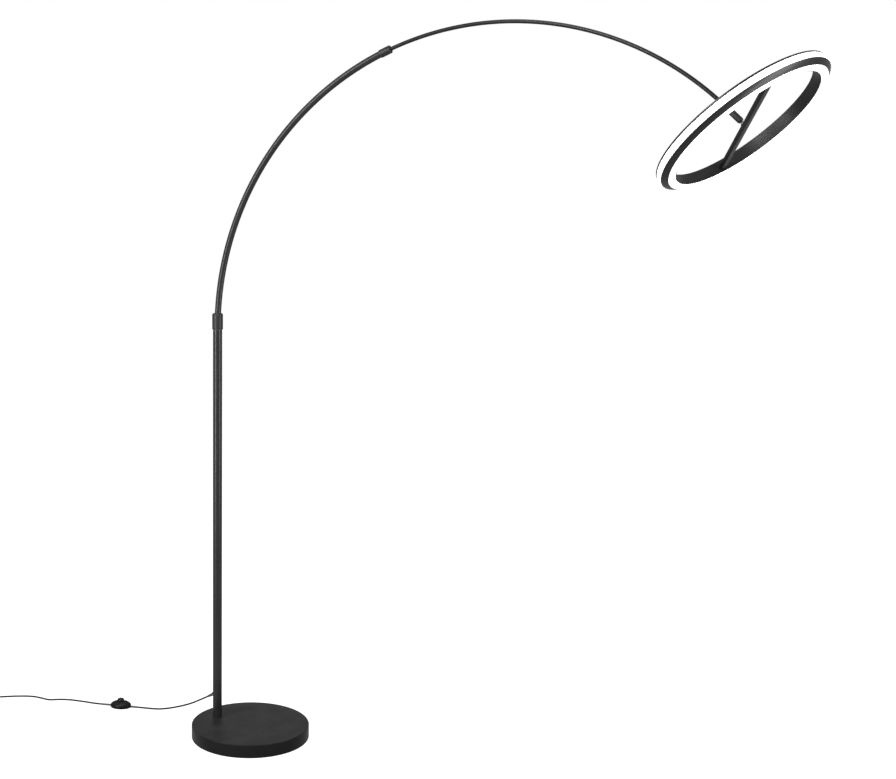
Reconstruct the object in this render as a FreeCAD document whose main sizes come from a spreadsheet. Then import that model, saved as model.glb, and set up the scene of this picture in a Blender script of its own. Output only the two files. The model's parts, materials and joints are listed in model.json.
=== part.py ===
import FreeCAD, Part
import math
import os
from types import SimpleNamespace

import Sketcher
from FreeCAD import Placement, Rotation, Vector

# Arc floor lamp with a telescopic arm and a ring-shaped light head.
# Millimetres and degrees. X reaches out along the arm, Z is up, and the origin is on the floor
# under the base, base_shift along X from its middle. The arm lies in the plane Y = 0.

SIZES = {
    # Base
    "pad_inset": 7.0,
    "pad_thick": 2.0,
    "plate_gap": 1.0,
    "plate_thick": 2.0,
    "base_radius": 154.3,
    "base_shift": 6.1,
    "base_height": 34.6,
    "cover_wall": 1.5,
    "cover_edge": 2.2,
    "cover_lift": 1.0,
    "weight_gap": 4.5,
    "pole_inset": 54.4,
    "driver_length": 118.0,
    "driver_width": 42.0,
    "driver_height": 22.0,
    "driver_start": -30.0,
    "driver_gap": 0.6,
    "wire_channel_width": 9.0,
    "wire_channel_height": 5.5,
    "plate_screw_radius": 2.5,
    "plate_screw_length": 12.0,
    "plate_screw_inset": 22.0,
    "plate_screw_count": 4,
    "plate_screw_angle": 45.0,
    # Clamp that ties the pole to the weight
    "clamp_pocket_gap": 2.5,
    "clamp_land": 9.1,
    "stud_radius": 6.0,
    "stud_gap": 0.2,
    "stud_tail": 2.0,
    "washer_width": 8.0,
    "washer_thick": 2.0,
    "clamp_nut_width": 3.0,
    "clamp_nut_thick": 8.5,
    "foot_plug_height": 46.0,
    # Pole
    "pole_radius": 12.0,
    "pole_wall": 1.5,
    "pole_top": 1069.5,
    "bush_flange": 1.0,
    "bush_length": 60.0,
    "spin_fit": 0.05,
    "spigot_tail": 5.0,
    "spigot_clip_thick": 2.0,
    "spigot_clip_gap": 0.5,
    # Arm
    "arc_radius": 739.0,
    "arc_lift": 3.0,
    "arm_tube_radius": 8.25,
    "arm_tube_wall": 1.2,
    "swivel_collar_proud": 2.0,
    "swivel_collar_height": 43.0,
    "swivel_collar_edge": 5.0,
    "arm_tube_angle": 68.5,
    "arm_collar_wall": 1.75,
    "arm_collar_edge": 3.0,
    "arm_collar_overlap_angle": 1.8,
    "arm_collar_lip_angle": 0.6,
    "guide_angle": 2.0,
    "guide_gap": 0.3,
    # Rod
    "rod_radius": 4.7,
    "rod_wall": 1.7,
    "rod_end_angle": 45.9,
    "rod_tail_angle": 5.0,
    "stop_angle": 2.0,
    "stop_gap_angle": 0.03,
    "stop_gap": 0.3,
    "reach_angle": 25.0,
    "wire_radius": 2.1,
    "wire_bend": 4.0,
    "wire_overlap_angle": 3.0,
    "wire_slack_angle": 1.0,
    "lead_radius": 1.2,
    "lead_gap": 0.2,
    "lead_bend": 1.8,
    # Socket and ball
    "socket_reach": 45.5,
    "socket_wall": 1.55,
    "socket_back_gap": 2.5,
    "socket_lip": 2.0,
    "socket_bevel": 3.5,
    "socket_rim_width": 0.6,
    "socket_edge": 1.0,
    "bore_gap": 0.6,
    "socket_back_wall": 12.0,
    "ball_radius": 5.0,
    "ball_gap": 0.3,
    "rod_tip_space": 2.0,
    "tip_clip_width": 0.6,
    "tip_clip_thick": 1.5,
    "tip_clip_gap": 0.3,
    "seat_back": 9.0,
    "seat_rim": 3.2,
    "seat_gap": 0.2,
    "friction_spring_gap": 0.9,
    "friction_spring_wire": 0.5,
    "friction_spring_pitch": 3.3,
    "spring_end_gap": 0.65,
    "neck_radius": 2.25,
    # Light head
    "head_tilt_angle": 11.14,
    "head_turn_angle": -51.13,
    "bar_angle": 15.56,
    "boss_width": 3.25,
    "boss_height": 3.0,
    "bar_back": 9.6,
    "bar_thick": 10.0,
    "bar_width": 14.0,
    "bar_wall": 1.5,
    "bar_recess": 5.0,
    "bar_fit": 0.05,
    "bar_nut_width": 1.75,
    "bar_nut_thick": 3.5,
    "bar_plug_length": 14.0,
    "bar_plug_height": 3.6,
    "bar_screw_radius": 1.25,
    "bar_screw_length": 10.0,
    "bar_screw_head_width": 0.9,
    "bar_screw_head": 1.6,
    "ring_inner": 177.5,
    "ring_wall": 1.8,
    "ring_back_wall": 1.08,
    "ring_crown_wall": 4.9,
    "lens_channel": 17.4,
    "ring_bevel_width": 13.2,
    "ring_bevel_depth": 10.3,
    "ring_channel_depth": 6.5,
    "ring_band_depth": 6.9,
    "ring_band_width": 13.7,
    "ring_back_band": 4.0,
    "ring_back_step": 1.0,
    "ring_back_inset": 0.4,
    "ring_crown_rise": 4.5,
    "ring_chamber_rise": 3.0,
    "lens_gap": 0.2,
    "lens_wall": 1.5,
    "lens_crown": 4.5,
    "band_wall": 1.5,
    "band_bulge": 0.7,
    "strip_gap": 0.6,
    "strip_thick": 1.2,
    # Foot switch
    "switch_x": -427.5,
    "switch_y": 22.5,
    "switch_heading_angle": 13.5,
    "switch_length": 58.0,
    "switch_width": 44.0,
    "switch_seam": 6.0,
    "switch_dome": 12.0,
    "switch_wall": 1.8,
    "button_radius": 9.5,
    "button_gap": 0.4,
    "button_proud": 6.5,
    "button_edge": 4.0,
    "button_flange_width": 1.5,
    "button_flange_lift": 5.4,
    "button_flange_thick": 2.2,
    "button_travel": 2.5,
    "button_spring_radius": 4.0,
    "button_spring_wire": 0.5,
    "button_spring_pitch": 2.2,
    "contact_length": 10.0,
    "contact_width": 3.0,
    "contact_height": 4.0,
    "contact_spread": 14.0,
    "switch_screw_radius": 1.5,
    "switch_screw_inset": 10.0,
    "switch_post_radius": 3.2,
    "relief_height": 3.0,
    "relief_radius": 2.9,
    "relief_length": 20.0,
    "relief_inside": 3.0,
    "relief_shoulder": 1.0,
    # Cord, its gland and its plug
    "cord_radius": 2.25,
    "gland_height": 102.0,
    "gland_slope_angle": 30.0,
    "gland_heading_angle": 168.7,
    "gland_neck": 4.2,
    "gland_flange_width": 1.4,
    "gland_flange_proud": 3.6,
    "gland_inside": 5.8,
    "gland_reach": 23.8,
    "gland_shoulder": 1.5,
    "gland_tip_radius": 2.9,
    "coil_x": -838.2,
    "coil_y": -89.0,
    "coil_mid_radius": 25.0,
    "coil_width": 18.5,
    "coil_height": 9.6,
    "coil_edge": 2.2,
    "plug_x": -894.0,
    "plug_y": -54.8,
    "plug_heading_angle": 99.9,
    "plug_length": 36.0,
    "plug_width": 26.0,
    "plug_height": 14.0,
    "plug_edge": 4.0,
    "plug_tail_length": 22.0,
    "plug_tail_radius": 4.5,
    "plug_tip_radius": 2.9,
    "pin_radius": 2.0,
    "pin_length": 19.0,
    "pin_inside": 6.0,
    "pin_spacing": 18.6,
}

# Route of the cord from the pole to the foot switch, and from the switch to the coil. The first
# and last points are worked out from the gland, the switch's strain reliefs and the coil.
LAMP_SIDE = [
    (-163.0, 11.4, 68.4),
    (-206.0, 20.4, 45.0),
    (-258.0, 29.6, 24.0),
    (-306.0, 37.0, 8.8),
    (-341.0, 42.2, 2.8),
]
PLUG_SIDE = [
    (-497.0, 5.8, 2.9),
    (-540.0, 4.0, 2.4),
    (-583.0, -1.5, 2.4),
    (-612.0, -13.5, 2.4),
    (-633.0, -30.0, 2.4),
    (-659.0, -27.5, 2.4),
    (-690.0, -26.0, 2.4),
    (-727.0, -42.0, 2.4),
    (-762.0, -66.0, 2.4),
    (-795.0, -89.5, 2.4),
    (-824.0, -109.5, 2.4),
]
PLUG_LEAD = [
    (-831.7, -113.7, 2.5),
    (-852.7, -115.0, 2.5),
    (-873.7, -110.5, 4.2),
    (-886.7, -96.0, 6.9),
]


PAST_ANGLE = 1.0  # how far a cutter on the arm's circle runs past what it cuts
BEND_SHARE = 0.45  # how much of the shorter run beside a corner a cable's bend takes
VOLUME_SHARE = 0.01  # how far a cable's volume may be from its length times its section


class Size(float):
    # A number that keeps the text of the sheet expression it was worked out from.
    def __new__(cls, number, text=None):
        made = super().__new__(cls, number)
        made.text = text or repr(float(number))
        return made

    def __add__(self, other):
        return Size(float(self) + float(other), f"({self.text} + {text_of(other)})")

    def __radd__(self, other):
        return Size(float(other) + float(self), f"({text_of(other)} + {self.text})")

    def __sub__(self, other):
        return Size(float(self) - float(other), f"({self.text} - {text_of(other)})")

    def __rsub__(self, other):
        return Size(float(other) - float(self), f"({text_of(other)} - {self.text})")

    def __mul__(self, other):
        return Size(float(self) * float(other), f"({self.text} * {text_of(other)})")

    def __rmul__(self, other):
        return Size(float(other) * float(self), f"({text_of(other)} * {self.text})")

    def __truediv__(self, other):
        return Size(float(self) / float(other), f"({self.text} / {text_of(other)})")

    def __neg__(self):
        return Size(-float(self), f"(0 - {self.text})")


def text_of(number):
    return number.text if isinstance(number, Size) else repr(float(number))


def cosine(angle):
    return Size(math.cos(math.radians(angle)), f"cos({text_of(angle)})")


def sine(angle):
    return Size(math.sin(math.radians(angle)), f"sin({text_of(angle)})")


def root(number):
    return Size(math.sqrt(number), f"sqrt({text_of(number)})")


doc = FreeCAD.newDocument("ArcFloorLamp")
sheet = doc.addObject("Spreadsheet::Sheet", "Sizes")
for row, (alias, number) in enumerate(SIZES.items(), start=1):
    sheet.set(f"A{row}", alias.replace("_", " "))
    sheet.set(f"B{row}", str(number))
    sheet.setAlias(f"B{row}", alias)
doc.recompute()
s = SimpleNamespace(**{alias: Size(sheet.get(alias), f"Sizes.{alias}") for alias in SIZES})
pieces = []


def bind(thing, name, number):
    setattr(thing, name, float(number))
    if isinstance(number, Size):
        thing.setExpression(name, number.text)


def place(thing, spot=(0, 0, 0), turn=None):
    thing.Placement = Placement(Vector(*[float(number) for number in spot]), turn or Rotation())
    for axis, number in zip("xyz", spot):
        if isinstance(number, Size):
            thing.setExpression(f"Placement.Base.{axis}", number.text)
    return thing


def piece(thing, label):
    thing.Label = label
    pieces.append(thing)
    return thing


def new_body(label):
    return doc.addObject("PartDesign::Body", label)


def new_sketch(body, name, plane):
    sketch = body.newObject("Sketcher::SketchObject", name)
    sketch.AttachmentSupport = [(part, "") for part in body.Origin.OriginFeatures if part.Role == plane]
    sketch.MapMode = "FlatFace"
    return sketch


def hold(sketch, kind, *where):
    # Adds a dimension and binds it to the sheet.
    *where, number = where
    index = sketch.addConstraint(Sketcher.Constraint(kind, *where, float(number)))
    if isinstance(number, Size):
        sketch.setExpression(f"Constraints[{index}]", number.text)


def draw_circle(sketch, x, y, radius):
    index = sketch.addGeometry(Part.Circle(Vector(x, y, 0), Vector(0, 0, 1), radius))
    hold(sketch, "Radius", index, radius)
    hold_point(sketch, index, 3, x, y)


def hold_point(sketch, index, end, x, y):
    for kind, number, line in (("DistanceX", x, -2), ("DistanceY", y, -1)):
        if float(number) == 0.0:
            sketch.addConstraint(Sketcher.Constraint("PointOnObject", index, end, line))
        else:
            hold(sketch, kind, -1, 1, index, end, number)


def draw_outline(sketch, corners):
    # A closed outline. A corner is (x, y), or (x, y, radius, side) when an arc leads to it: side is
    # 1 for an arc that bulges to the right of its way, and -1 for one that bulges to the left.
    edges = []
    for number, corner in enumerate(corners):
        start = Vector(corners[number - 1][0], corners[number - 1][1], 0)
        end = Vector(corner[0], corner[1], 0)
        if len(corner) == 2:
            edges.append((sketch.addGeometry(Part.LineSegment(start, end)), 1, 2))
            continue
        radius, side = corner[2:]
        way = end - start
        left = Vector(-way.y, way.x, 0).normalize()
        reach = math.sqrt(max(float(radius) ** 2 - (way.Length / 2) ** 2, 0.0))
        centre = (start + end) / 2 + left * (side * reach)
        first, last = (start, end) if side > 0 else (end, start)
        from_angle = math.atan2(first.y - centre.y, first.x - centre.x)
        to_angle = math.atan2(last.y - centre.y, last.x - centre.x)
        circle = Part.Circle(centre, Vector(0, 0, 1), float(radius))
        index = sketch.addGeometry(Part.ArcOfCircle(circle, from_angle, to_angle))
        hold(sketch, "Radius", index, radius)
        edges.append((index, 1, 2) if side > 0 else (index, 2, 1))
    for number, (index, start, end) in enumerate(edges):
        before, before_start, before_end = edges[number - 1]
        sketch.addConstraint(Sketcher.Constraint("Coincident", before, before_end, index, start))
        hold_point(sketch, index, start, corners[number - 1][0], corners[number - 1][1])


def revolve(body, sketch, angle=360.0, reverse=False):
    feature = body.newObject("PartDesign::Revolution", f"{sketch.Name}_revolution")
    feature.Profile = sketch
    feature.ReferenceAxis = (sketch, ["V_Axis"])
    bind(feature, "Angle", angle)
    feature.Reversed = reverse
    return feature


def turned(label, *outlines):
    # A piece turned about its own Z axis. Outlines after the first are closed hollows in it.
    body = new_body(label)
    sketch = new_sketch(body, f"{label}_outline", "XZ_Plane")
    for corners in outlines:
        draw_outline(sketch, corners)
    revolve(body, sketch)
    return body


def tube(label, inner, outer, bottom, top):
    return turned(label, [(inner, bottom), (outer, bottom), (outer, top), (inner, top)])


def pad(body, sketch, length, reverse=False, middle=False):
    feature = body.newObject("PartDesign::Pad", f"{sketch.Name}_pad")
    feature.Profile = sketch
    bind(feature, "Length", length)
    feature.Reversed = reverse
    if middle:
        feature.SideType = "Symmetric"
    return feature


def cylinder(name, radius, height, spot=(0, 0, 0), turn=None):
    thing = doc.addObject("Part::Cylinder", name)
    bind(thing, "Radius", radius)
    bind(thing, "Height", height)
    return place(thing, spot, turn)


def box(name, length, width, height, spot=(0, 0, 0), turn=None):
    thing = doc.addObject("Part::Box", name)
    bind(thing, "Length", length)
    bind(thing, "Width", width)
    bind(thing, "Height", height)
    return place(thing, spot, turn)


def group(name, things):
    thing = doc.addObject("Part::Compound", name)
    thing.Links = things
    return thing


def cut(name, whole, tools):
    thing = doc.addObject("Part::Cut", name)
    thing.Base = whole
    thing.Tool = tools[0] if len(tools) == 1 else fuse(f"{name}_cutters", tools)
    return thing


def fuse(name, things):
    thing = doc.addObject("Part::MultiFuse", name)
    thing.Shapes = things
    return thing


def common(name, things):
    thing = doc.addObject("Part::MultiCommon", name)
    thing.Shapes = things
    return thing


def nut(label, flat, bore, thick):
    body = new_body(label)
    sketch = new_sketch(body, f"{label}_section", "XY_Plane")
    half = flat / 2
    corner = half / cosine(Size(30.0))
    points = [(corner, Size(0.0)), (corner / 2, half), (-corner / 2, half), (-corner, Size(0.0)),
              (-corner / 2, -half), (corner / 2, -half)]
    draw_outline(sketch, points)
    draw_circle(sketch, Size(0.0), Size(0.0), bore)
    pad(body, sketch, thick)
    return body


def spring(label, radius, wire, pitch, height, bottom):
    # A helical spring about its own Z axis, from bottom up.
    helix = doc.addObject("Part::Helix", f"{label}_line")
    bind(helix, "Radius", radius)
    bind(helix, "Pitch", pitch)
    bind(helix, "Height", height)
    place(helix, (0, 0, bottom))
    circle = doc.addObject("Part::Circle", f"{label}_section")
    bind(circle, "Radius", wire)
    place(circle, (radius, 0, bottom), Rotation(Vector(1, 0, 0), 90))
    sweep = doc.addObject("Part::Sweep", f"{label}_coil")
    sweep.Sections = [circle]
    sweep.Spine = helix
    sweep.Solid = True
    sweep.Frenet = True
    return sweep


def wire_along(points, bends):
    # A path of straight runs joined by tangent arcs, one bend radius for each inner point.
    edges = []
    start = points[0]
    for number in range(1, len(points) - 1):
        before = (points[number - 1] - points[number]).normalize()
        after = (points[number + 1] - points[number]).normalize()
        half = (math.pi - before.getAngle(after)) / 2
        inset = bends[number - 1] * math.tan(half)
        first = points[number] + before * inset
        last = points[number] + after * inset
        to_middle = (before + after).normalize()
        middle = points[number] + to_middle * (bends[number - 1] / math.cos(half) - bends[number - 1])
        edges.append(Part.LineSegment(start, first).toShape())
        edges.append(Part.Arc(first, middle, last).toShape())
        start = last
    edges.append(Part.LineSegment(start, points[-1]).toShape())
    return Part.Wire(edges)


def round_cable(label, points, radius, bends=None):
    # A cable of one thickness along the points. Its bends are as large as the runs allow.
    path = [Vector(*[float(number) for number in point]) for point in points]
    if bends is None:
        bends = []
        for number in range(1, len(path) - 1):
            before = path[number - 1] - path[number]
            after = path[number + 1] - path[number]
            half = (math.pi - before.getAngle(after)) / 2
            bends.append(BEND_SHARE * min(before.Length, after.Length) / math.tan(half))
        print(f"{label} radii: {', '.join(f'{bend:.0f}' for bend in bends)}")
    wire = wire_along(path, bends)
    profile = Part.Wire(Part.Circle(path[0], path[1] - path[0], float(radius)).toShape())
    solid = wire.makePipeShell([profile], True, False)
    expected = math.pi * float(radius) ** 2 * wire.Length
    assert abs(solid.Volume / expected - 1) < VOLUME_SHARE, f"{label} volume {solid.Volume} of {expected}"
    thing = doc.addObject("Part::Feature", label)
    thing.Shape = solid
    print(f"{label} length {wire.Length:.0f}")
    return thing


# Sizes worked out from the others, so that what fits together stays together.
s.pole_offset = s.base_radius + s.base_shift - s.pole_inset
s.pad_radius = s.base_radius - s.pad_inset
s.plate_radius = s.base_radius - s.cover_wall - s.plate_gap
s.weight_radius = s.base_radius - s.cover_wall - s.weight_gap
s.plate_screw_circle = s.base_radius - s.plate_screw_inset
weight_base = s.pad_thick + s.plate_thick
weight_top = s.base_height - s.cover_wall
clamp_roof = weight_top - s.clamp_land
s.washer_radius = s.stud_radius + s.washer_width
s.clamp_pocket_radius = s.washer_radius + s.clamp_pocket_gap
s.clamp_nut_flat = (s.stud_radius + s.clamp_nut_width) * 2
s.stud_end = clamp_roof - s.washer_thick - s.clamp_nut_thick - s.stud_tail
pole_inner = s.pole_radius - s.pole_wall
arm_inner = s.arm_tube_radius - s.arm_tube_wall
rod_inner = s.rod_radius - s.rod_wall
s.spigot_length = s.bush_flange + s.bush_length + s.spigot_tail
s.spigot_clip_radius = pole_inner - s.spigot_clip_gap
s.swivel_collar_radius = s.pole_radius + s.swivel_collar_proud
s.arm_collar_radius = s.arm_tube_radius + s.arm_collar_wall
s.socket_back = s.socket_reach - s.socket_back_gap
s.rod_tip = s.socket_back - s.socket_back_wall - s.rod_tip_space
s.socket_bore = s.ball_radius + s.bore_gap
s.socket_radius = s.socket_bore + s.socket_wall
s.seat_radius = s.socket_bore - s.seat_gap
s.tip_clip_radius = s.rod_radius + s.tip_clip_width
s.friction_spring_radius = s.socket_bore - s.friction_spring_gap - s.friction_spring_wire
s.boss_radius = s.neck_radius + s.boss_width
s.bar_nut_flat = (s.neck_radius + s.bar_nut_width) * 2
s.bar_screw_head_radius = s.bar_screw_radius + s.bar_screw_head_width
s.ring_front_rim = s.ring_inner + s.ring_wall + s.lens_channel
s.ring_outer_rim = s.ring_front_rim + s.ring_bevel_width
s.ring_band_floor = s.ring_outer_rim - s.ring_band_depth
s.ring_band_end = s.ring_bevel_depth + s.ring_band_width
s.ring_back_radius = s.ring_outer_rim - s.ring_back_inset
s.ring_rim_end = s.ring_band_end + s.ring_back_band
s.ring_back_edge = s.ring_rim_end - s.ring_back_step
s.switch_screw_spread = s.switch_length / 2 - s.switch_screw_inset
s.button_flange = s.button_radius + s.button_flange_width
s.button_flange_base = s.switch_seam + s.button_flange_lift
s.button_top = s.switch_seam + s.switch_dome + s.button_proud
gland_exit = s.pole_radius / cosine(s.gland_slope_angle)
s.gland_flange = s.gland_neck + s.gland_flange_width
s.gland_start = gland_exit - s.gland_inside
s.gland_flange_end = gland_exit + s.gland_flange_proud
s.gland_tip = gland_exit + s.gland_reach

# Directions and places that several pieces share.
SIDE = Vector(0, 1, 0)
ARC_TURN = Rotation(Vector(-1, 0, 0), Vector(0, 0, -1), Vector(0, -1, 0), "ZXY")
arc_x = s.arc_radius - s.pole_offset
arc_z = s.pole_top + s.bush_flange + s.arc_lift
arm_end = 180.0 - s.arm_tube_angle
rod_tail = arm_end + s.rod_tail_angle
rod_end = s.rod_end_angle
collar_base = s.pole_top + s.bush_flange
spigot_end = collar_base - s.spigot_length
pole_spot = (-s.pole_offset, 0, 0)
base_spot = (-s.base_shift, 0, 0)


def arc_turn(angle):
    # Local X points out along the arm's circle at the angle, and Z is the circle's axis.
    out = Vector(cosine(angle), 0, sine(angle))
    return Rotation(out, Vector(0, 0, 0), Vector(0, -1, 0), "ZXY")


def on_arc(label, first, last, circles, straight=None, ahead=True):
    # A piece bent round the arm's circle between two angles, with a straight end if it has one:
    # ahead of the first angle, or behind the last.
    body = new_body(label)
    sketch = new_sketch(body, f"{label}_section", "XZ_Plane")
    for radius in circles:
        draw_circle(sketch, s.arc_radius, Size(0.0), radius)
    revolve(body, sketch, last - first, reverse=not ahead)
    if straight is not None:
        pad(body, sketch, straight, reverse=not ahead)
    return place(body, (arc_x, 0, arc_z), arc_turn(first if ahead else last))


# Base: a pad, a plate, an iron weight and a sheet cover.
def make_base():
    piece(cylinder("floor_pad", s.pad_radius, s.pad_thick, base_spot), "floor_pad")

    screws = []
    for number in range(int(s.plate_screw_count)):
        angle = s.plate_screw_angle + number * 360.0 / s.plate_screw_count
        level_x = s.plate_screw_circle * cosine(angle) - s.base_shift
        spot = (level_x, s.plate_screw_circle * sine(angle), s.pad_thick)
        screws.append(cylinder(f"plate_screw_{number}", s.plate_screw_radius, s.plate_screw_length, spot))
    plate_screws = piece(group("plate_screws", screws), "plate_screws")

    plate_spot = (-s.base_shift, 0, s.pad_thick)
    blank = cylinder("base_plate_blank", s.plate_radius, s.plate_thick, plate_spot)
    piece(cut("base_plate", blank, [plate_screws]), "base_plate")

    weight_spot = (-s.base_shift, 0, weight_base)
    iron = cylinder("base_weight_blank", s.weight_radius, weight_top - weight_base, weight_spot)
    gap = s.driver_gap
    driver_corner = (s.driver_start - gap, -s.driver_width / 2 - gap, weight_base)
    driver_pocket = box("driver_pocket", s.driver_length + 2 * gap, s.driver_width + 2 * gap,
                        s.driver_height + gap, driver_corner)
    clamp_pocket = cylinder("clamp_pocket", s.clamp_pocket_radius, clamp_roof - weight_base,
                            (-s.pole_offset, 0, weight_base))
    stud_hole = cylinder("stud_hole", s.stud_radius + s.stud_gap, s.base_height, pole_spot)
    channel = box("wire_channel", s.pole_offset + s.driver_start, s.wire_channel_width,
                  s.wire_channel_height, (-s.pole_offset, -s.wire_channel_width / 2, weight_base))
    cutters = [driver_pocket, clamp_pocket, stud_hole, channel, plate_screws]
    piece(cut("base_weight", iron, cutters), "base_weight")
    driver = box("led_driver", s.driver_length, s.driver_width, s.driver_height,
                 (s.driver_start, -s.driver_width / 2, weight_base))
    piece(driver, "led_driver")

    wall = s.cover_wall
    edge = s.cover_edge
    shell = turned("base_shell", [
        (s.base_radius, s.cover_lift),
        (s.base_radius, s.base_height - edge),
        (s.base_radius - edge, s.base_height, edge, 1),
        (0, s.base_height),
        (0, weight_top),
        (s.base_radius - edge, weight_top),
        (s.base_radius - wall, s.base_height - edge, edge - wall, -1),
        (s.base_radius - wall, s.cover_lift),
    ])
    place(shell, base_spot)
    cover_hole = cylinder("cover_hole", s.stud_radius + s.stud_gap, s.base_height, pole_spot)
    piece(cut("base_cover", shell, [cover_hole]), "base_cover")


# Pole and what ties it to the base and lets the arm turn on it.
def make_pole():
    bore = s.wire_radius + s.lead_gap
    plug_top = s.base_height + s.foot_plug_height
    plug = turned("pole_foot_plug", [
        (bore, s.stud_end),
        (s.stud_radius, s.stud_end),
        (s.stud_radius, s.base_height),
        (pole_inner, s.base_height),
        (pole_inner, plug_top),
        (bore, plug_top),
    ])
    piece(place(plug, pole_spot), "pole_foot_plug")
    washer = tube("clamp_washer", s.stud_radius, s.washer_radius, clamp_roof - s.washer_thick, clamp_roof)
    piece(place(washer, pole_spot), "clamp_washer")
    clamp_nut = nut("clamp_nut", s.clamp_nut_flat, s.stud_radius, s.clamp_nut_thick)
    nut_base = clamp_roof - s.washer_thick - s.clamp_nut_thick
    piece(place(clamp_nut, (-s.pole_offset, 0, nut_base)), "clamp_nut")

    gland_turn = Rotation(Vector(0, 0, 1), gland_way())
    gland_spot = (-s.pole_offset, 0, s.gland_height)
    wall = tube("pole_wall_tube", pole_inner, s.pole_radius, s.base_height, s.pole_top)
    place(wall, pole_spot)
    gland_hole = cylinder("gland_hole", s.gland_neck, s.gland_tip, gland_spot, gland_turn)
    piece(cut("pole_tube", wall, [gland_hole]), "pole_tube")

    neck = cylinder("gland_neck_part", s.gland_neck, s.gland_flange_end - s.gland_start, (0, 0, 0))
    start = gland_point(s.gland_start)
    place(neck, tuple(start), gland_turn)
    flange = turned("gland_flange_part", [
        (0, s.gland_start),
        (s.gland_flange, s.gland_start),
        (s.gland_flange, s.gland_flange_end),
        (s.gland_neck, s.gland_flange_end + s.gland_shoulder),
        (s.gland_tip_radius, s.gland_tip),
        (0, s.gland_tip),
    ])
    place(flange, gland_spot, gland_turn)
    core = cylinder("gland_pole_core", s.pole_radius, s.pole_top, pole_spot)
    outside = cut("gland_outside", flange, [core])
    piece(fuse("cord_gland", [neck, outside]), "cord_gland")

    bush = turned("swivel_bush", [
        (s.arm_tube_radius + s.spin_fit, s.pole_top - s.bush_length),
        (pole_inner, s.pole_top - s.bush_length),
        (pole_inner, s.pole_top),
        (s.pole_radius, s.pole_top),
        (s.pole_radius, s.pole_top + s.bush_flange),
        (s.arm_tube_radius + s.spin_fit, s.pole_top + s.bush_flange),
    ])
    piece(place(bush, pole_spot), "swivel_bush")

    wire_floor = weight_base + s.wire_radius + s.lead_gap
    points = [
        (-s.pole_offset, 0, spigot_end),
        (-s.pole_offset, 0, wire_floor),
        (s.driver_start, 0, wire_floor),
    ]
    piece(round_cable("pole_wire", points, s.wire_radius, [s.wire_bend]), "pole_wire")


def gland_way():
    level = Rotation(Vector(0, 0, 1), float(s.gland_heading_angle)).multVec(Vector(1, 0, 0))
    return level * float(cosine(s.gland_slope_angle)) - Vector(0, 0, sine(s.gland_slope_angle))


def gland_point(distance):
    return Vector(-s.pole_offset, 0, s.gland_height) + gland_way() * float(distance)


# Arm: the wide tube that swivels on the pole, with its collars and the bush that guides the rod.
def make_arm():
    straight = s.spigot_length + s.arc_lift
    top = Size(180.0)
    arm_tube = on_arc("arm_tube", arm_end, top, [s.arm_tube_radius, arm_inner], straight, ahead=False)
    piece(arm_tube, "arm_tube")

    edge = s.swivel_collar_edge
    high = collar_base + s.swivel_collar_height
    radius = s.swivel_collar_radius
    blank = turned("swivel_collar_blank", [
        (0, collar_base),
        (radius - edge / 2, collar_base),
        (radius, collar_base + edge / 2, edge / 2, 1),
        (radius, high - edge),
        (radius - edge, high, edge, 1),
        (0, high),
    ])
    place(blank, pole_spot)
    core = on_arc("swivel_collar_core", arm_end, top, [s.arm_tube_radius], straight, ahead=False)
    piece(cut("swivel_collar", blank, [core]), "swivel_collar")

    clip_top = s.pole_top - s.bush_length - s.guide_gap
    clip_base = clip_top - s.spigot_clip_thick
    clip = tube("spigot_clip", s.arm_tube_radius, s.spigot_clip_radius, clip_base, clip_top)
    piece(place(clip, pole_spot), "spigot_clip")

    collar_start = arm_end - s.arm_collar_lip_angle
    collar_end = arm_end + s.arm_collar_overlap_angle
    half = s.arc_radius * (collar_end - collar_start) * (math.pi / 360)
    edge = s.arm_collar_edge
    collar = turned("arm_collar_blank", [
        (0, -half),
        (s.arm_collar_radius - edge, -half),
        (s.arm_collar_radius, edge - half, edge, 1),
        (s.arm_collar_radius, half - edge),
        (s.arm_collar_radius - edge, half, edge, 1),
        (0, half),
    ])
    middle = (collar_start + collar_end) / 2
    along = Rotation(Vector(0, 0, 1), Vector(sine(middle), 0, -cosine(middle)))
    place(collar, (arc_x + s.arc_radius * cosine(middle), 0, arc_z + s.arc_radius * sine(middle)), along)
    tube_seat = on_arc("arm_collar_seat", arm_end, collar_end + PAST_ANGLE, [s.arm_tube_radius])
    way_start = collar_start - PAST_ANGLE
    way_end = arm_end + PAST_ANGLE
    rod_way = on_arc("arm_collar_way", way_start, way_end, [s.rod_radius + s.guide_gap])
    piece(cut("arm_collar", collar, [tube_seat, rod_way]), "arm_collar")

    guide_end = arm_end + s.guide_angle
    guide = on_arc("guide_bush", arm_end, guide_end, [arm_inner, s.rod_radius + s.guide_gap])
    piece(guide, "guide_bush")

    wire_end = rod_tail - s.wire_overlap_angle
    arm_wire = on_arc("arm_wire", wire_end, top, [s.wire_radius], straight, ahead=False)
    piece(arm_wire, "arm_wire")


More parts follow.
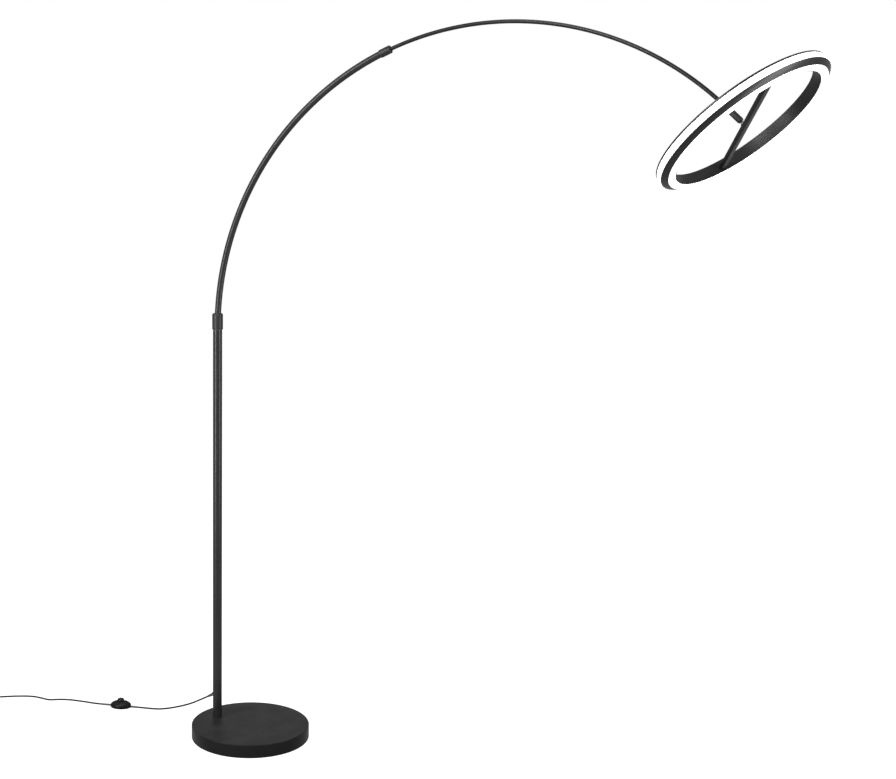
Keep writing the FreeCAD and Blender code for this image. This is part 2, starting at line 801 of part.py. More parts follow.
# Rod: the thin tube that telescopes in the arm, with its stop and its wire.
def make_rod():
    straight = s.socket_reach - s.rod_tip
    piece(on_arc("arm_rod", rod_end, rod_tail, [s.rod_radius, rod_inner], straight), "arm_rod")
    stop_start = arm_end + s.guide_angle + s.stop_gap_angle
    stop = on_arc("rod_stop", stop_start, stop_start + s.stop_angle, [arm_inner - s.stop_gap, s.rod_radius])
    piece(stop, "rod_stop")
    wire_tail = rod_tail - s.reach_angle - s.wire_overlap_angle - s.wire_slack_angle
    piece(on_arc("rod_wire", rod_end, wire_tail, [s.wire_radius], straight), "rod_wire")
    clip_start = s.tip_clip_gap - s.socket_back + s.socket_back_wall
    clip = tube("rod_tip_clip", s.rod_radius, s.tip_clip_radius, clip_start, clip_start + s.tip_clip_thick)
    piece(place(clip, ball_spot, socket_turn()), "rod_tip_clip")


rod_way_x = sine(s.rod_end_angle)
rod_way_z = -cosine(s.rod_end_angle)
ball_spot = (
    arc_x + s.arc_radius * cosine(s.rod_end_angle) + s.socket_reach * rod_way_x,
    0,
    arc_z + s.arc_radius * sine(s.rod_end_angle) + s.socket_reach * rod_way_z,
)


def ball_centre():
    return Vector(*[float(number) for number in ball_spot])


def socket_turn():
    # Local Z runs out of the rod's end, along the socket.
    way = Vector(rod_way_x, 0, rod_way_z)
    return Rotation(Vector(0, 1, 0).cross(way), SIDE, way, "ZYX")


def head_turn():
    # Local Z is the way the light faces, and X runs along the crossbar.
    way = Vector(rod_way_x, 0, rod_way_z)
    axis = Rotation(way, float(s.head_turn_angle)).multVec(SIDE)
    facing = Rotation(axis, float(s.head_tilt_angle)).multVec(way)
    along = Rotation(facing, float(s.bar_angle)).multVec(axis)
    return Rotation(along, Vector(0, 0, 0), facing, "ZXY")


# Socket: it turns on the rod's end and holds the ball.
def make_socket():
    cavity = s.ball_radius + s.ball_gap
    mouth = root(cavity * cavity - s.socket_lip * s.socket_lip)
    inner_wall = s.socket_back_wall - s.socket_back
    edge = s.socket_edge
    socket = turned("head_socket", [
        (s.rod_radius + s.spin_fit, -s.socket_back),
        (s.socket_radius - edge, -s.socket_back),
        (s.socket_radius, edge - s.socket_back),
        (s.socket_radius, s.socket_lip - s.socket_bevel),
        (mouth + s.socket_rim_width, s.socket_lip),
        (mouth, s.socket_lip),
        (cavity, 0, cavity, -1),
        (s.socket_bore, 0),
        (s.socket_bore, inner_wall),
        (s.rod_radius + s.spin_fit, inner_wall),
    ])
    piece(place(socket, ball_spot, socket_turn()), "head_socket")

    lead_hole = s.lead_radius + s.lead_gap
    seat_mouth = root(cavity * cavity - s.seat_rim * s.seat_rim)
    seat_deep = root(cavity * cavity - lead_hole * lead_hole)
    seat = turned("ball_seat", [
        (lead_hole, -s.seat_back),
        (s.seat_radius, -s.seat_back),
        (s.seat_radius, -s.seat_rim),
        (seat_mouth, -s.seat_rim),
        (lead_hole, -seat_deep, cavity, -1),
    ])
    piece(place(seat, ball_spot, socket_turn()), "ball_seat")

    spring_start = s.spring_end_gap - s.rod_tip
    spring_height = s.rod_tip - s.seat_back - 2 * s.spring_end_gap
    coil = spring("friction_spring", s.friction_spring_radius, s.friction_spring_wire,
                  s.friction_spring_pitch, spring_height, spring_start)
    piece(turned_by(coil, ball_spot, socket_turn()), "friction_spring")
    lead_end = s.ball_radius + s.ball_gap
    lead = cylinder("joint_wire", s.lead_radius, s.rod_tip - lead_end)
    start = ball_centre() + socket_turn().multVec(Vector(0, 0, -s.rod_tip))
    piece(place(lead, tuple(start), socket_turn()), "joint_wire")


def turned_by(thing, spot, turn):
    # Moves a swept piece as a whole, through a compound that holds it.
    return place(group(f"{thing.Name}_group", [thing]), spot, turn)


# Head: the ball on its stud, the crossbar and the light ring. Heights run along the facing way,
# from the ball's centre, and ring depths run from the ring's front plane.
bar_front = s.bar_back + s.bar_thick
ring_front = bar_front + s.bar_recess


def in_head(thing, height=0.0, along=0.0, across=0.0):
    shift = head_turn().multVec(Vector(along, across, height))
    thing.Placement = Placement(ball_centre() + shift, head_turn())
    return thing


def make_crossbar():
    lead_hole = s.lead_radius + s.lead_gap / 2
    ball_back = root(s.ball_radius * s.ball_radius - lead_hole * lead_hole)
    neck_start = root(s.ball_radius * s.ball_radius - s.neck_radius * s.neck_radius)
    floor = s.bar_back + s.bar_wall
    stud_top = floor + s.bar_nut_thick
    stud = turned("ball_stud", [
        (lead_hole, -ball_back),
        (s.neck_radius, neck_start, s.ball_radius, 1),
        (s.neck_radius, stud_top),
        (lead_hole, stud_top),
    ])
    piece(in_head(stud), "ball_stud")
    boss = tube("bar_boss", s.neck_radius, s.boss_radius, s.bar_back - s.boss_height, s.bar_back)
    piece(in_head(boss), "bar_boss")
    piece(in_head(nut("bar_nut", s.bar_nut_flat, s.neck_radius, s.bar_nut_thick), floor), "bar_nut")

    half_width = s.bar_width / 2
    bar_half = root(s.ring_inner * s.ring_inner - half_width * half_width) - s.bar_fit
    inside = half_width - s.bar_wall
    bar = new_body("crossbar_profile")
    section = new_sketch(bar, "crossbar_section", "YZ_Plane")
    for reach, low, high in ((half_width, s.bar_back, bar_front), (inside, floor, bar_front - s.bar_wall)):
        draw_outline(section, [(-reach, low), (reach, low), (reach, high), (-reach, high)])
    pad(bar, section, bar_half * 2, middle=True)
    in_head(bar)
    stud_hole = in_head(cylinder("stud_hole_in_bar", s.neck_radius, floor + s.bar_wall))
    piece(cut("crossbar", bar, [stud_hole]), "crossbar")

    plugs = []
    screws = []
    screw_height = floor + s.bar_plug_height / 2
    for side in (-1, 1):
        start = bar_half - s.bar_plug_length if side > 0 else -bar_half
        block = box(f"bar_plug_block_{side + 1}", s.bar_plug_length, inside * 2, s.bar_plug_height)
        in_head(block, floor, start, -inside)
        out = s.ring_inner + s.ring_wall
        screw = turned(f"bar_screw_{side + 1}", [
            (0, out - s.bar_screw_length),
            (s.bar_screw_radius, out - s.bar_screw_length),
            (s.bar_screw_radius, out),
            (s.bar_screw_head_radius, out),
            (s.bar_screw_head_radius, out + s.bar_screw_head),
            (0, out + s.bar_screw_head),
        ])
        quarter = Rotation(Vector(0, 1, 0), 90.0 * side)
        lift = head_turn().multVec(Vector(0, 0, screw_height))
        screw.Placement = Placement(ball_centre() + lift, head_turn() * quarter)
        screws.append(screw)
        plugs.append(cut(f"bar_plug_{side + 1}", block, [screw]))
    piece(group("bar_end_plugs", plugs), "bar_end_plugs")
    piece(group("bar_screws", screws), "bar_screws")

    lead_height = stud_top + s.lead_bend
    turn = head_turn()
    lead_start = s.ball_radius - s.ball_gap
    lead_end = s.ring_inner + s.ring_wall + s.ring_wall
    route = [(0, 0, -lead_start), (0, 0, lead_height), (lead_end, 0, lead_height)]
    points = [ball_centre() + turn.multVec(Vector(*point)) for point in route]
    piece(round_cable("head_wire", points, s.lead_radius, [s.lead_bend]), "head_wire")
    return lead_height


def make_ring(lead_height):
    chamber_in = s.ring_inner + s.ring_wall
    chamber_out = s.ring_band_floor - s.ring_wall
    shelf = -s.ring_channel_depth
    chamber_near = s.ring_back_wall - s.ring_back_edge
    chamber_far = -s.ring_band_end - s.ring_crown_wall
    back_chord = distance(s.ring_back_radius - s.ring_inner, s.ring_back_step)
    chamber_chord = distance(chamber_out - chamber_in, chamber_near - chamber_far)
    profile = turned("ring_profile", [
        (s.ring_inner, 0),
        (s.ring_inner, -s.ring_back_edge),
        (s.ring_back_radius, -s.ring_rim_end, dome_radius(back_chord, s.ring_crown_rise), 1),
        (s.ring_back_radius, -s.ring_band_end),
        (s.ring_band_floor, -s.ring_band_end),
        (s.ring_band_floor, -s.ring_bevel_depth),
        (s.ring_outer_rim, -s.ring_bevel_depth),
        (s.ring_front_rim, 0),
        (s.ring_front_rim, shelf),
        (chamber_in, shelf),
        (chamber_in, 0),
    ], [
        (chamber_in, shelf - s.ring_wall),
        (chamber_in, chamber_near),
        (chamber_out, chamber_far, dome_radius(chamber_chord, s.ring_chamber_rise), 1),
        (chamber_out, shelf - s.ring_wall),
    ])
    in_head(profile, ring_front)
    hole_length = s.ring_wall * 3
    hole_start = s.ring_inner - s.ring_wall
    cutters = []
    screw_height = s.bar_back + s.bar_wall + s.bar_plug_height / 2
    for name, radius, height, side in (
        ("lead_hole_in_ring", s.lead_radius, lead_height, 1),
        ("screw_hole_in_ring_1", s.bar_screw_radius, screw_height, 1),
        ("screw_hole_in_ring_2", s.bar_screw_radius, screw_height, -1),
    ):
        hole = in_head(cylinder(name, radius, hole_length), height, side * hole_start)
        hole.Placement.Rotation = head_turn() * Rotation(Vector(0, 1, 0), 90.0 * side)
        cutters.append(hole)
    piece(cut("ring_body", profile, cutters), "ring_body")

    inner = chamber_in + s.lens_gap
    outer = s.ring_front_rim - s.lens_gap
    wall = s.lens_wall
    lens = turned("front_diffuser", [
        (inner, shelf),
        (inner, 0),
        (outer, 0, dome_radius(outer - inner, s.lens_crown), -1),
        (outer, shelf),
        (outer - wall, shelf),
        (outer - wall, 0),
        (inner + wall, 0, dome_radius(outer - inner - 2 * wall, s.lens_crown - wall), 1),
        (inner + wall, shelf),
    ])
    piece(in_head(lens, ring_front), "front_diffuser")

    top = -s.ring_bevel_depth - s.lens_gap
    bottom = s.lens_gap - s.ring_band_end
    skin = s.ring_outer_rim - s.lens_gap
    wall = s.band_wall
    band = turned("outer_diffuser", [
        (s.ring_band_floor, bottom),
        (skin, bottom),
        (skin, top, dome_radius(top - bottom, s.band_bulge), 1),
        (s.ring_band_floor, top),
        (s.ring_band_floor, top - wall),
        (skin - wall, top - wall),
        (skin - wall, bottom + wall),
        (s.ring_band_floor, bottom + wall),
    ])
    piece(in_head(band, ring_front), "outer_diffuser")

    near = inner + wall + s.strip_gap
    far = outer - wall - s.strip_gap
    front_strip = tube("front_led_strip", near, far, shelf, shelf + s.strip_thick)
    piece(in_head(front_strip, ring_front), "front_led_strip")
    floor = s.ring_band_floor
    edge = wall + s.strip_gap
    strip = tube("outer_led_strip", floor, floor + s.strip_thick, bottom + edge, top - edge)
    piece(in_head(strip, ring_front), "outer_led_strip")


def distance(one, two):
    return root(one * one + two * two)


def dome_radius(chord, rise):
    # The radius of the arc that rises so far over a chord.
    half = chord / 2
    return (half * half + rise * rise) / (rise * 2)


# Foot switch: two shells, a sprung button and its contacts, in the cord's line on the floor.
def make_switch():
    turn = Rotation(Vector(0, 0, 1), float(s.switch_heading_angle))

    def in_switch(thing, x=0.0, y=0.0, height=0.0, extra=None):
        shift = turn.multVec(Vector(x, y, 0))
        spot = (s.switch_x + shift.x, s.switch_y + shift.y, height)
        return place(thing, spot, turn * (extra or Rotation()))

    long_half = s.switch_length / 2
    wide_half = s.switch_width / 2
    wall = s.switch_wall

    def dome(name, shrink):
        thing = doc.addObject("Part::Ellipsoid", name)
        bind(thing, "Radius1", s.switch_dome - shrink)
        bind(thing, "Radius2", long_half - shrink)
        bind(thing, "Radius3", wide_half - shrink)
        thing.Angle1 = 0
        return in_switch(thing, height=s.switch_seam)

    def oval(name, shrink, low, high):
        body = new_body(name)
        sketch = new_sketch(body, f"{name}_outline", "XY_Plane")
        centre = Vector(0, 0, 0)
        ellipse = Part.Ellipse(Vector(long_half - shrink, 0, 0), Vector(0, wide_half - shrink, 0), centre)
        sketch.addGeometry(ellipse)
        pad(body, sketch, high - low)
        return in_switch(body, height=low)

    posts = []
    screws = []
    for side in (-1, 1):
        x = side * s.switch_screw_spread
        posts.append(in_switch(cylinder(f"switch_post_{side + 1}", s.switch_post_radius,
                                        s.switch_seam + s.switch_dome), x))
        screws.append(in_switch(cylinder(f"switch_screw_{side + 1}", s.switch_screw_radius,
                                         s.switch_seam + wall * 2), x, 0.0, wall / 2))
    screw_group = piece(group("switch_screws", screws), "switch_screws")

    reliefs = []
    for side in (-1, 1):
        start = long_half - s.relief_inside
        relief = turned(f"switch_relief_{side + 1}", [
            (0, start),
            (s.relief_radius, start),
            (s.relief_radius, long_half + s.relief_shoulder),
            ((s.cord_radius + s.relief_radius) / 2, long_half + s.relief_length),
            (0, long_half + s.relief_length),
        ])
        outwards = Rotation(Vector(0, 1, 0), 90.0 * side)
        reliefs.append(in_switch(relief, height=s.relief_height, extra=outwards))
    relief_group = piece(group("switch_reliefs", reliefs), "switch_reliefs")

    outer = oval("switch_lower_outer", Size(0.0), Size(0.0), s.switch_seam)
    inner = oval("switch_lower_inner", wall, wall, s.switch_seam)
    tray = cut("switch_tray", outer, [inner])
    core = oval("switch_post_limit", wall, Size(0.0), s.switch_seam)
    low_posts = common("switch_low_posts", [fuse("switch_posts_low", posts), core])
    lower = fuse("switch_lower_whole", [tray, low_posts])
    piece(cut("switch_lower_shell", lower, [screw_group, relief_group]), "switch_lower_shell")

    hood = cut("switch_hood", dome("switch_dome_outer", Size(0.0)), [dome("switch_dome_inner", wall)])
    hood_inside = dome("switch_dome_limit", wall / 2)
    high_posts = common("switch_high_posts", [fuse("switch_posts_high", posts), hood_inside])
    whole = fuse("switch_upper_whole", [hood, high_posts])
    button_hole = in_switch(cylinder("button_hole", s.button_radius + s.button_gap, s.button_top))
    piece(cut("switch_upper_shell", whole, [button_hole, screw_group]), "switch_upper_shell")

    base = s.button_flange_base
    flange_top = base + s.button_flange_thick
    edge = s.button_edge
    button = turned("switch_button", [
        (0, base),
        (s.button_flange, base),
        (s.button_flange, flange_top),
        (s.button_radius, flange_top),
        (s.button_radius, s.button_top - edge),
        (s.button_radius - edge, s.button_top, edge, 1),
        (0, s.button_top),
    ])
    piece(in_switch(button), "switch_button")
    coil = spring("switch_spring", s.button_spring_radius, s.button_spring_wire, s.button_spring_pitch,
                  base - wall - 2 * s.spring_end_gap, wall + s.spring_end_gap)
    piece(in_switch(group("switch_spring_group", [coil])), "switch_spring")
    contacts = []
    for side in (-1, 1):
        y = side * s.contact_spread / 2 - s.contact_width / 2
        contact = box(f"switch_contact_{side + 1}", s.contact_length, s.contact_width, s.contact_height)
        contacts.append(in_switch(contact, -s.contact_length / 2, y, wall))
    piece(group("switch_contacts", contacts), "switch_contacts")


def relief_tip(side):
    reach = s.switch_length / 2 + s.relief_length
    way = Rotation(Vector(0, 0, 1), float(s.switch_heading_angle)).multVec(Vector(side * reach, 0, 0))
    return Vector(s.switch_x, s.switch_y, s.relief_height) + way


# Plug: a flat two-pin plug that lies on the floor, its cord leaving it by a tapered tail.
def make_plug():
    turn = Rotation(Vector(0, 0, 1), float(s.plug_heading_angle))
    middle = s.plug_height / 2
    half = s.plug_width / 2
    edge = s.plug_edge
    body = new_body("plug_block")
    sketch = new_sketch(body, "plug_section", "YZ_Plane")
    draw_outline(sketch, [
        (half, edge),
        (half, s.plug_height - edge),
        (half - edge, s.plug_height, edge, 1),
        (edge - half, s.plug_height),
        (-half, s.plug_height - edge, edge, 1),
        (-half, edge),
        (edge - half, 0, edge, 1),
        (half - edge, 0),
    ])
    pad(body, sketch, s.plug_length)
    place(body, (s.plug_x, s.plug_y, 0), turn)
    tail = turned("plug_tail", [
        (0, -edge),
        (s.plug_tail_radius, -edge),
        (s.plug_tail_radius, 0),
        (s.plug_tip_radius, s.plug_tail_length),
        (0, s.plug_tail_length),
    ])
    place(tail, (s.plug_x, s.plug_y, middle), turn * Rotation(Vector(0, 1, 0), -90.0))
    pins = []
    for side in (-1, 1):
        shift = turn.multVec(Vector(s.plug_length - s.pin_inside, side * s.pin_spacing / 2, 0))
        spot = (s.plug_x + shift.x, s.plug_y + shift.y, middle)
        pins.append(cylinder(f"plug_pin_{side + 1}", s.pin_radius, s.pin_inside + s.pin_length, spot,
                             turn * Rotation(Vector(0, 1, 0), 90.0)))
    pin_group = piece(group("plug_pins", pins), "plug_pins")
    piece(cut("plug_body", fuse("plug_whole", [body, tail]), [pin_group]), "plug_body")


def make_cord():
    lamp_side = [gland_point(s.gland_tip)] + LAMP_SIDE + [relief_tip(1)]
    piece(round_cable("cord_lamp_side", lamp_side, s.cord_radius), "cord_lamp_side")
    plug_side = [relief_tip(-1)] + PLUG_SIDE
    piece(round_cable("cord_plug_side", plug_side, s.cord_radius), "cord_plug_side")
    way = Rotation(Vector(0, 0, 1), float(s.plug_heading_angle)).multVec(Vector(1, 0, 0))
    tail_tip = Vector(s.plug_x, s.plug_y, s.plug_height / 2) - way * float(s.plug_tail_length)
    piece(round_cable("cord_plug_lead", PLUG_LEAD + [tail_tip], s.cord_radius), "cord_plug_lead")
    inner = s.coil_mid_radius - s.coil_width / 2
    outer = s.coil_mid_radius + s.coil_width / 2
    edge = s.coil_edge
    coil = turned("cord_coil", [
        (inner, 0),
        (outer - edge, 0),
        (outer, edge, edge, 1),
        (outer, s.coil_height - edge),
        (outer - edge, s.coil_height, edge, 1),
        (inner, s.coil_height),
    ])
    piece(place(coil, (s.coil_x, s.coil_y, 0)), "cord_coil")


make_base()
make_pole()
make_arm()
make_rod()
make_socket()
make_ring(make_crossbar())
make_switch()
make_plug()
make_cord()
doc.recompute()

for thing in doc.Objects:
    bad = [state for state in thing.State if state in ("Invalid", "Error")]
    assert not bad, f"{thing.Name} is {bad}"
for thing in pieces:
    assert not thing.Shape.isNull() and thing.Shape.isValid(), f"{thing.Label} has no valid shape"

os.makedirs("parts", exist_ok=True)
for thing in pieces:
    thing.Shape.exportStep(f"parts/{thing.Label}.step")
print(f"{len(pieces)} pieces")
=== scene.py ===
import json
import math

import bmesh
import bpy
import numpy as np
from mathutils import Matrix, Vector


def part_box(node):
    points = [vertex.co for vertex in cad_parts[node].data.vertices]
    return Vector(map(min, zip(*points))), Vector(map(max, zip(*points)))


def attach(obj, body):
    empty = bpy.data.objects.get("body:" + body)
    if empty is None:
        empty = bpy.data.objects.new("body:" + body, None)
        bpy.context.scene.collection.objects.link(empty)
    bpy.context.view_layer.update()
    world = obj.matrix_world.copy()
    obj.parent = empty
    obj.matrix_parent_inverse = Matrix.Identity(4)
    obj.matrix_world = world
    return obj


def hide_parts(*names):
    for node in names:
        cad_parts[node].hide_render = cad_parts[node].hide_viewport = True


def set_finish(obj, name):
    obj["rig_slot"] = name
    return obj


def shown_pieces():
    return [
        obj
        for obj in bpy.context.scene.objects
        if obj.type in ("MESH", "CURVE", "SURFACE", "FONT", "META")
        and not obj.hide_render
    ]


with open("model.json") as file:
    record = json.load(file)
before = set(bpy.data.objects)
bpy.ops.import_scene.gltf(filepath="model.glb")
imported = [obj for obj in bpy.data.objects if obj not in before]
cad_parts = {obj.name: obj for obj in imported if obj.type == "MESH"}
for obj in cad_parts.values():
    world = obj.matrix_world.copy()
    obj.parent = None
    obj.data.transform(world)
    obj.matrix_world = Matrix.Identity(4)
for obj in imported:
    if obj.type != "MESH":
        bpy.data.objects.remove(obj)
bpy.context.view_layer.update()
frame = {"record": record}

# Arc floor lamp. Lengths are metres, angles degrees. X reaches out along the arm and Z is up.
slotOf = {part["node"]: part["material_slot"] for part in frame["record"]["subparts"]}
scene = bpy.context.scene


def newObject(name, data):
    piece = bpy.data.objects.new(name, data)
    scene.collection.objects.link(piece)
    return piece


# Camera
cameraSpot = {
    "at": (1.61624, -3.04539, 1.35755),
    "yaw": 25.98,
    "pitch": -5.542,
    "roll": 0.374,
    "lens": 54.252,
    "shift": (0.16518, -0.04408),
}


def makeCamera():
    data = bpy.data.cameras.new("camera")
    data.lens = cameraSpot["lens"]
    data.shift_x, data.shift_y = cameraSpot["shift"]
    camera = newObject("camera", data)
    turned = Matrix.Rotation(math.radians(cameraSpot["yaw"]), 3, "Z")
    raised = Matrix.Rotation(math.radians(90 + cameraSpot["pitch"]), 3, "X")
    rolled = Matrix.Rotation(math.radians(cameraSpot["roll"]), 3, "Z")
    camera.rotation_euler = (turned @ raised @ rolled).to_euler()
    camera.location = cameraSpot["at"]
    scene.camera = camera


makeCamera()
print("camera")


# Cord: one length from the pole to the foot switch, one from the switch through the coil to the plug
cordFacts = {
    "diameter": 0.0045,
    "toSwitch": [
        (-0.13801, 0.0064, 0.08315),
        (-0.163, 0.0114, 0.0684),
        (-0.206, 0.0204, 0.045),
        (-0.258, 0.0296, 0.024),
        (-0.306, 0.037, 0.0088),
        (-0.341, 0.0422, 0.0028),
        (-0.37985, 0.03394, 0.003),
    ],
    "toCoil": [
        (-0.47515, 0.01106, 0.003),
        (-0.497, 0.0058, 0.0029),
        (-0.54, 0.004, 0.0024),
        (-0.583, -0.0015, 0.0024),
        (-0.612, -0.0135, 0.0024),
        (-0.633, -0.03, 0.0024),
        (-0.659, -0.0275, 0.0024),
        (-0.69, -0.026, 0.0024),
        (-0.727, -0.042, 0.0024),
        (-0.762, -0.066, 0.0024),
        (-0.795, -0.0895, 0.0024),
    ],
    "toPlug": [
        (-0.8617, -0.1193, 0.0056),
        (-0.8765, -0.1112, 0.0049),
        (-0.8872, -0.096, 0.0068),
        (-0.89022, -0.07647, 0.007),
    ],
    "lampLength": 0.262,
    "plugLength": 1.75,
}
coilFacts = {
    "middle": 0.0253,  # radius half way between the innermost and the outermost turn
    "turns": 8,
    "columns": 4,
    "pitch": 0.0046,
    "changeFrom": 0.75,  # share of a turn after which the cord moves over to the next column
    "pointsPerTurn": 12,
    "pointsPastTurns": 2,
    "start": -55.3,  # angle round the coil where the cord comes in
    "floor": 0.0029,  # leaves room for the ties under the turns
}


def coilPoints(centre):
    # Turns laid inwards on the floor and then outwards on top of them, clockwise from above.
    # point = centre + (middle + column * pitch) * (cos(a), sin(a)), at the height of its layer
    perTurn = coilFacts["pointsPerTurn"]
    columns = coilFacts["columns"]
    count = np.arange(coilFacts["turns"] * perTurn + coilFacts["pointsPastTurns"])
    turn, part = np.divmod(count / perTurn, 1.0)
    changeFrom = coilFacts["changeFrom"]
    step = np.clip((part - changeFrom) / (1 - changeFrom), 0, 1)
    place = turn + step * step * (3 - 2 * step)
    inwards = np.minimum(place, columns - 1)
    outwards = np.clip(place - columns, 0, columns - 1)
    column = (columns - 1) / 2 - inwards + outwards
    layer = np.clip(place - (columns - 1), 0, 1)
    radius = (coilFacts["middle"] + column * coilFacts["pitch"]) / math.cos(math.pi / perTurn)
    angle = np.radians(coilFacts["start"]) - count * 2 * np.pi / perTurn
    height = coilFacts["floor"] + layer * coilFacts["pitch"]
    x = centre.x + radius * np.cos(angle)
    y = centre.y + radius * np.sin(angle)
    return np.stack([x, y, height], axis=1)


def cordCurve(name, points):
    curve = bpy.data.curves.new(name, "CURVE")
    curve.dimensions = "3D"
    curve.bevel_depth = 1.0  # each point's radius gives the thickness
    curve.bevel_resolution = 5
    curve.resolution_u = 12
    curve.use_fill_caps = True
    spline = curve.splines.new("NURBS")
    route = np.hstack([np.asarray(points, dtype=float), np.ones((len(points), 1))])
    spline.points.add(len(route) - 1)
    spline.points.foreach_set("co", route.ravel())
    spline.points.foreach_set("radius", np.full(len(route), cordFacts["diameter"] / 2))
    spline.order_u = 3
    spline.use_endpoint_u = True
    piece = newObject(name, curve)
    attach(piece, "base")
    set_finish(piece, "cord_sheath")
    return piece


coilBox = [Vector(corner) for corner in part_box("cord_coil")]
coilCentre = (coilBox[0] + coilBox[1]) / 2
lampCord = cordCurve("lampCord", cordFacts["toSwitch"])
plugRoute = cordFacts["toCoil"] + coilPoints(coilCentre).tolist() + cordFacts["toPlug"]
plugCord = cordCurve("plugCord", plugRoute)
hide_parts("cord_lamp_side")
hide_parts("cord_plug_side", "cord_coil", "cord_plug_lead")
print("cords")


# Shape makers
def meshPiece(name, points, faces, body, replaced=(), sharp=35.0):
    # A mesh with smooth faces whose seams are merged and whose faces point outwards.
    mesh = bpy.data.meshes.new(name)
    mesh.from_pydata(points.reshape(-1, 3).tolist(), [], faces.tolist())
    work = bmesh.new()
    work.from_mesh(mesh)
    bmesh.ops.remove_doubles(work, verts=work.verts, dist=1e-6)
    bmesh.ops.dissolve_degenerate(work, edges=work.edges, dist=1e-7)
    bmesh.ops.recalc_face_normals(work, faces=work.faces)
    work.to_mesh(mesh)
    work.free()
    mesh.polygons.foreach_set("use_smooth", np.ones(len(mesh.polygons), dtype=bool))
    mesh.set_sharp_from_angle(angle=math.radians(sharp))
    piece = newObject(name, mesh)
    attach(piece, body)
    if replaced:
        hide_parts(*replaced)
        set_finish(piece, slotOf[replaced[0]])
    return piece


def gridFaces(rows, columns, wrapRows=False, wrapColumns=False):
    # Quads between neighbours of a grid of points, closed on itself where asked.
    row = np.arange(rows if wrapRows else rows - 1)
    column = np.arange(columns if wrapColumns else columns - 1)
    row, column = np.meshgrid(row, column, indexing="ij")
    nextRow, nextColumn = (row + 1) % rows, (column + 1) % columns
    corners = (row * columns + column, row * columns + nextColumn,
               nextRow * columns + nextColumn, nextRow * columns + column)
    return np.stack(corners, axis=-1).reshape(-1, 4)


def rounded(corners, steps=7, closed=True):
    # An outline whose corners (x, y, rounding) become arcs that touch both of their sides:
    # point = arc's centre + cos(t) * first + sin(t) * side, with t from 0 to the turn
    spots = np.array([corner[:2] for corner in corners], dtype=float)
    outline = []
    for number, corner in enumerate(corners):
        size = corner[2] if len(corner) > 2 else 0.0
        atEnd = not closed and number in (0, len(corners) - 1)
        if size == 0.0 or atEnd:
            outline.append(spots[number][None])
            continue
        back = spots[number - 1] - spots[number]
        ahead = spots[(number + 1) % len(spots)] - spots[number]
        back /= np.linalg.norm(back)
        ahead /= np.linalg.norm(ahead)
        half = math.acos(np.clip(back @ ahead, -1, 1)) / 2
        middle = back + ahead
        centre = spots[number] + middle / np.linalg.norm(middle) * size / math.sin(half)
        first = spots[number] + back * size / math.tan(half) - centre
        last = spots[number] + ahead * size / math.tan(half) - centre
        turn = math.atan2(first[0] * last[1] - first[1] * last[0], first @ last)
        angle = np.linspace(0, turn, steps)
        side = np.array([-first[1], first[0]])
        outline.append(centre + np.cos(angle)[:, None] * first + np.sin(angle)[:, None] * side)
    return np.vstack(outline)


def arcTo(start, end, rise, steps=24):
    # Points between two ends of an arc that rises so far to the left of its way, without the ends:
    # radius = (half chord squared + rise squared) / (2 * rise)
    start, end = np.array(start, dtype=float), np.array(end, dtype=float)
    way = end - start
    half = np.linalg.norm(way) / 2
    left = np.array([-way[1], way[0]]) / (2 * half)
    radius = (half * half + rise * rise) / (2 * abs(rise))
    centre = (start + end) / 2 + left * (rise - math.copysign(radius, rise))
    reach = math.asin(min(half / radius, 1.0))
    angle = np.linspace(-reach, reach, steps + 2)[1:-1]
    out = left * math.copysign(radius, rise)
    along = way / (2 * half) * radius
    return centre + np.cos(angle)[:, None] * out + np.sin(angle)[:, None] * along


def lathe(name, outline, place, body, replaced=(), steps=48, closed=True, sharp=35.0):
    # point = origin + radius * (cos(a) * x axis + sin(a) * y axis) + height * z axis
    angle = np.arange(steps) * 2 * np.pi / steps
    axes = np.array(place.to_3x3())
    origin = np.array(place.translation)
    ringWay = np.cos(angle)[:, None] * axes[:, 0] + np.sin(angle)[:, None] * axes[:, 1]
    points = (origin + outline[None, :, 0, None] * ringWay[:, None, :]
              + outline[None, :, 1, None] * axes[:, 2])
    faces = gridFaces(steps, len(outline), wrapRows=True, wrapColumns=closed)
    return meshPiece(name, points, faces, body, replaced, sharp)


def carried(name, section, spots, across, up, body, replaced, scales=None):
    # A closed section carried along a path: point = spot + scale * (x * across + y * up)
    scales = np.ones(len(spots)) if scales is None else scales
    offset = section[None, :, :1] * across[:, None, :] + section[None, :, 1:] * up[:, None, :]
    points = spots[:, None, :] + scales[:, None, None] * offset
    ends = np.repeat(points[[0, -1]].mean(axis=1)[:, None, :], len(section), axis=1)
    points = np.concatenate([ends[:1], points, ends[1:]])  # both ends close on their own middle
    faces = gridFaces(len(points), len(section), wrapColumns=True)
    return meshPiece(name, points, faces, body, replaced)


def circle(radius, steps):
    # point = radius * (cos(a), sin(a))
    angle = np.arange(steps) * 2 * np.pi / steps
    return np.stack([radius * np.cos(angle), radius * np.sin(angle)], axis=1)


def framed(origin, x, z):
    # A place whose x and z axes point the given ways.
    x, z = Vector(x).normalized(), Vector(z).normalized()
    place = Matrix((x, z.cross(x), z)).transposed().to_4x4()
    place.translation = Vector(origin)
    return place


upright = framed((0, 0, 0), (1, 0, 0), (0, 0, 1))


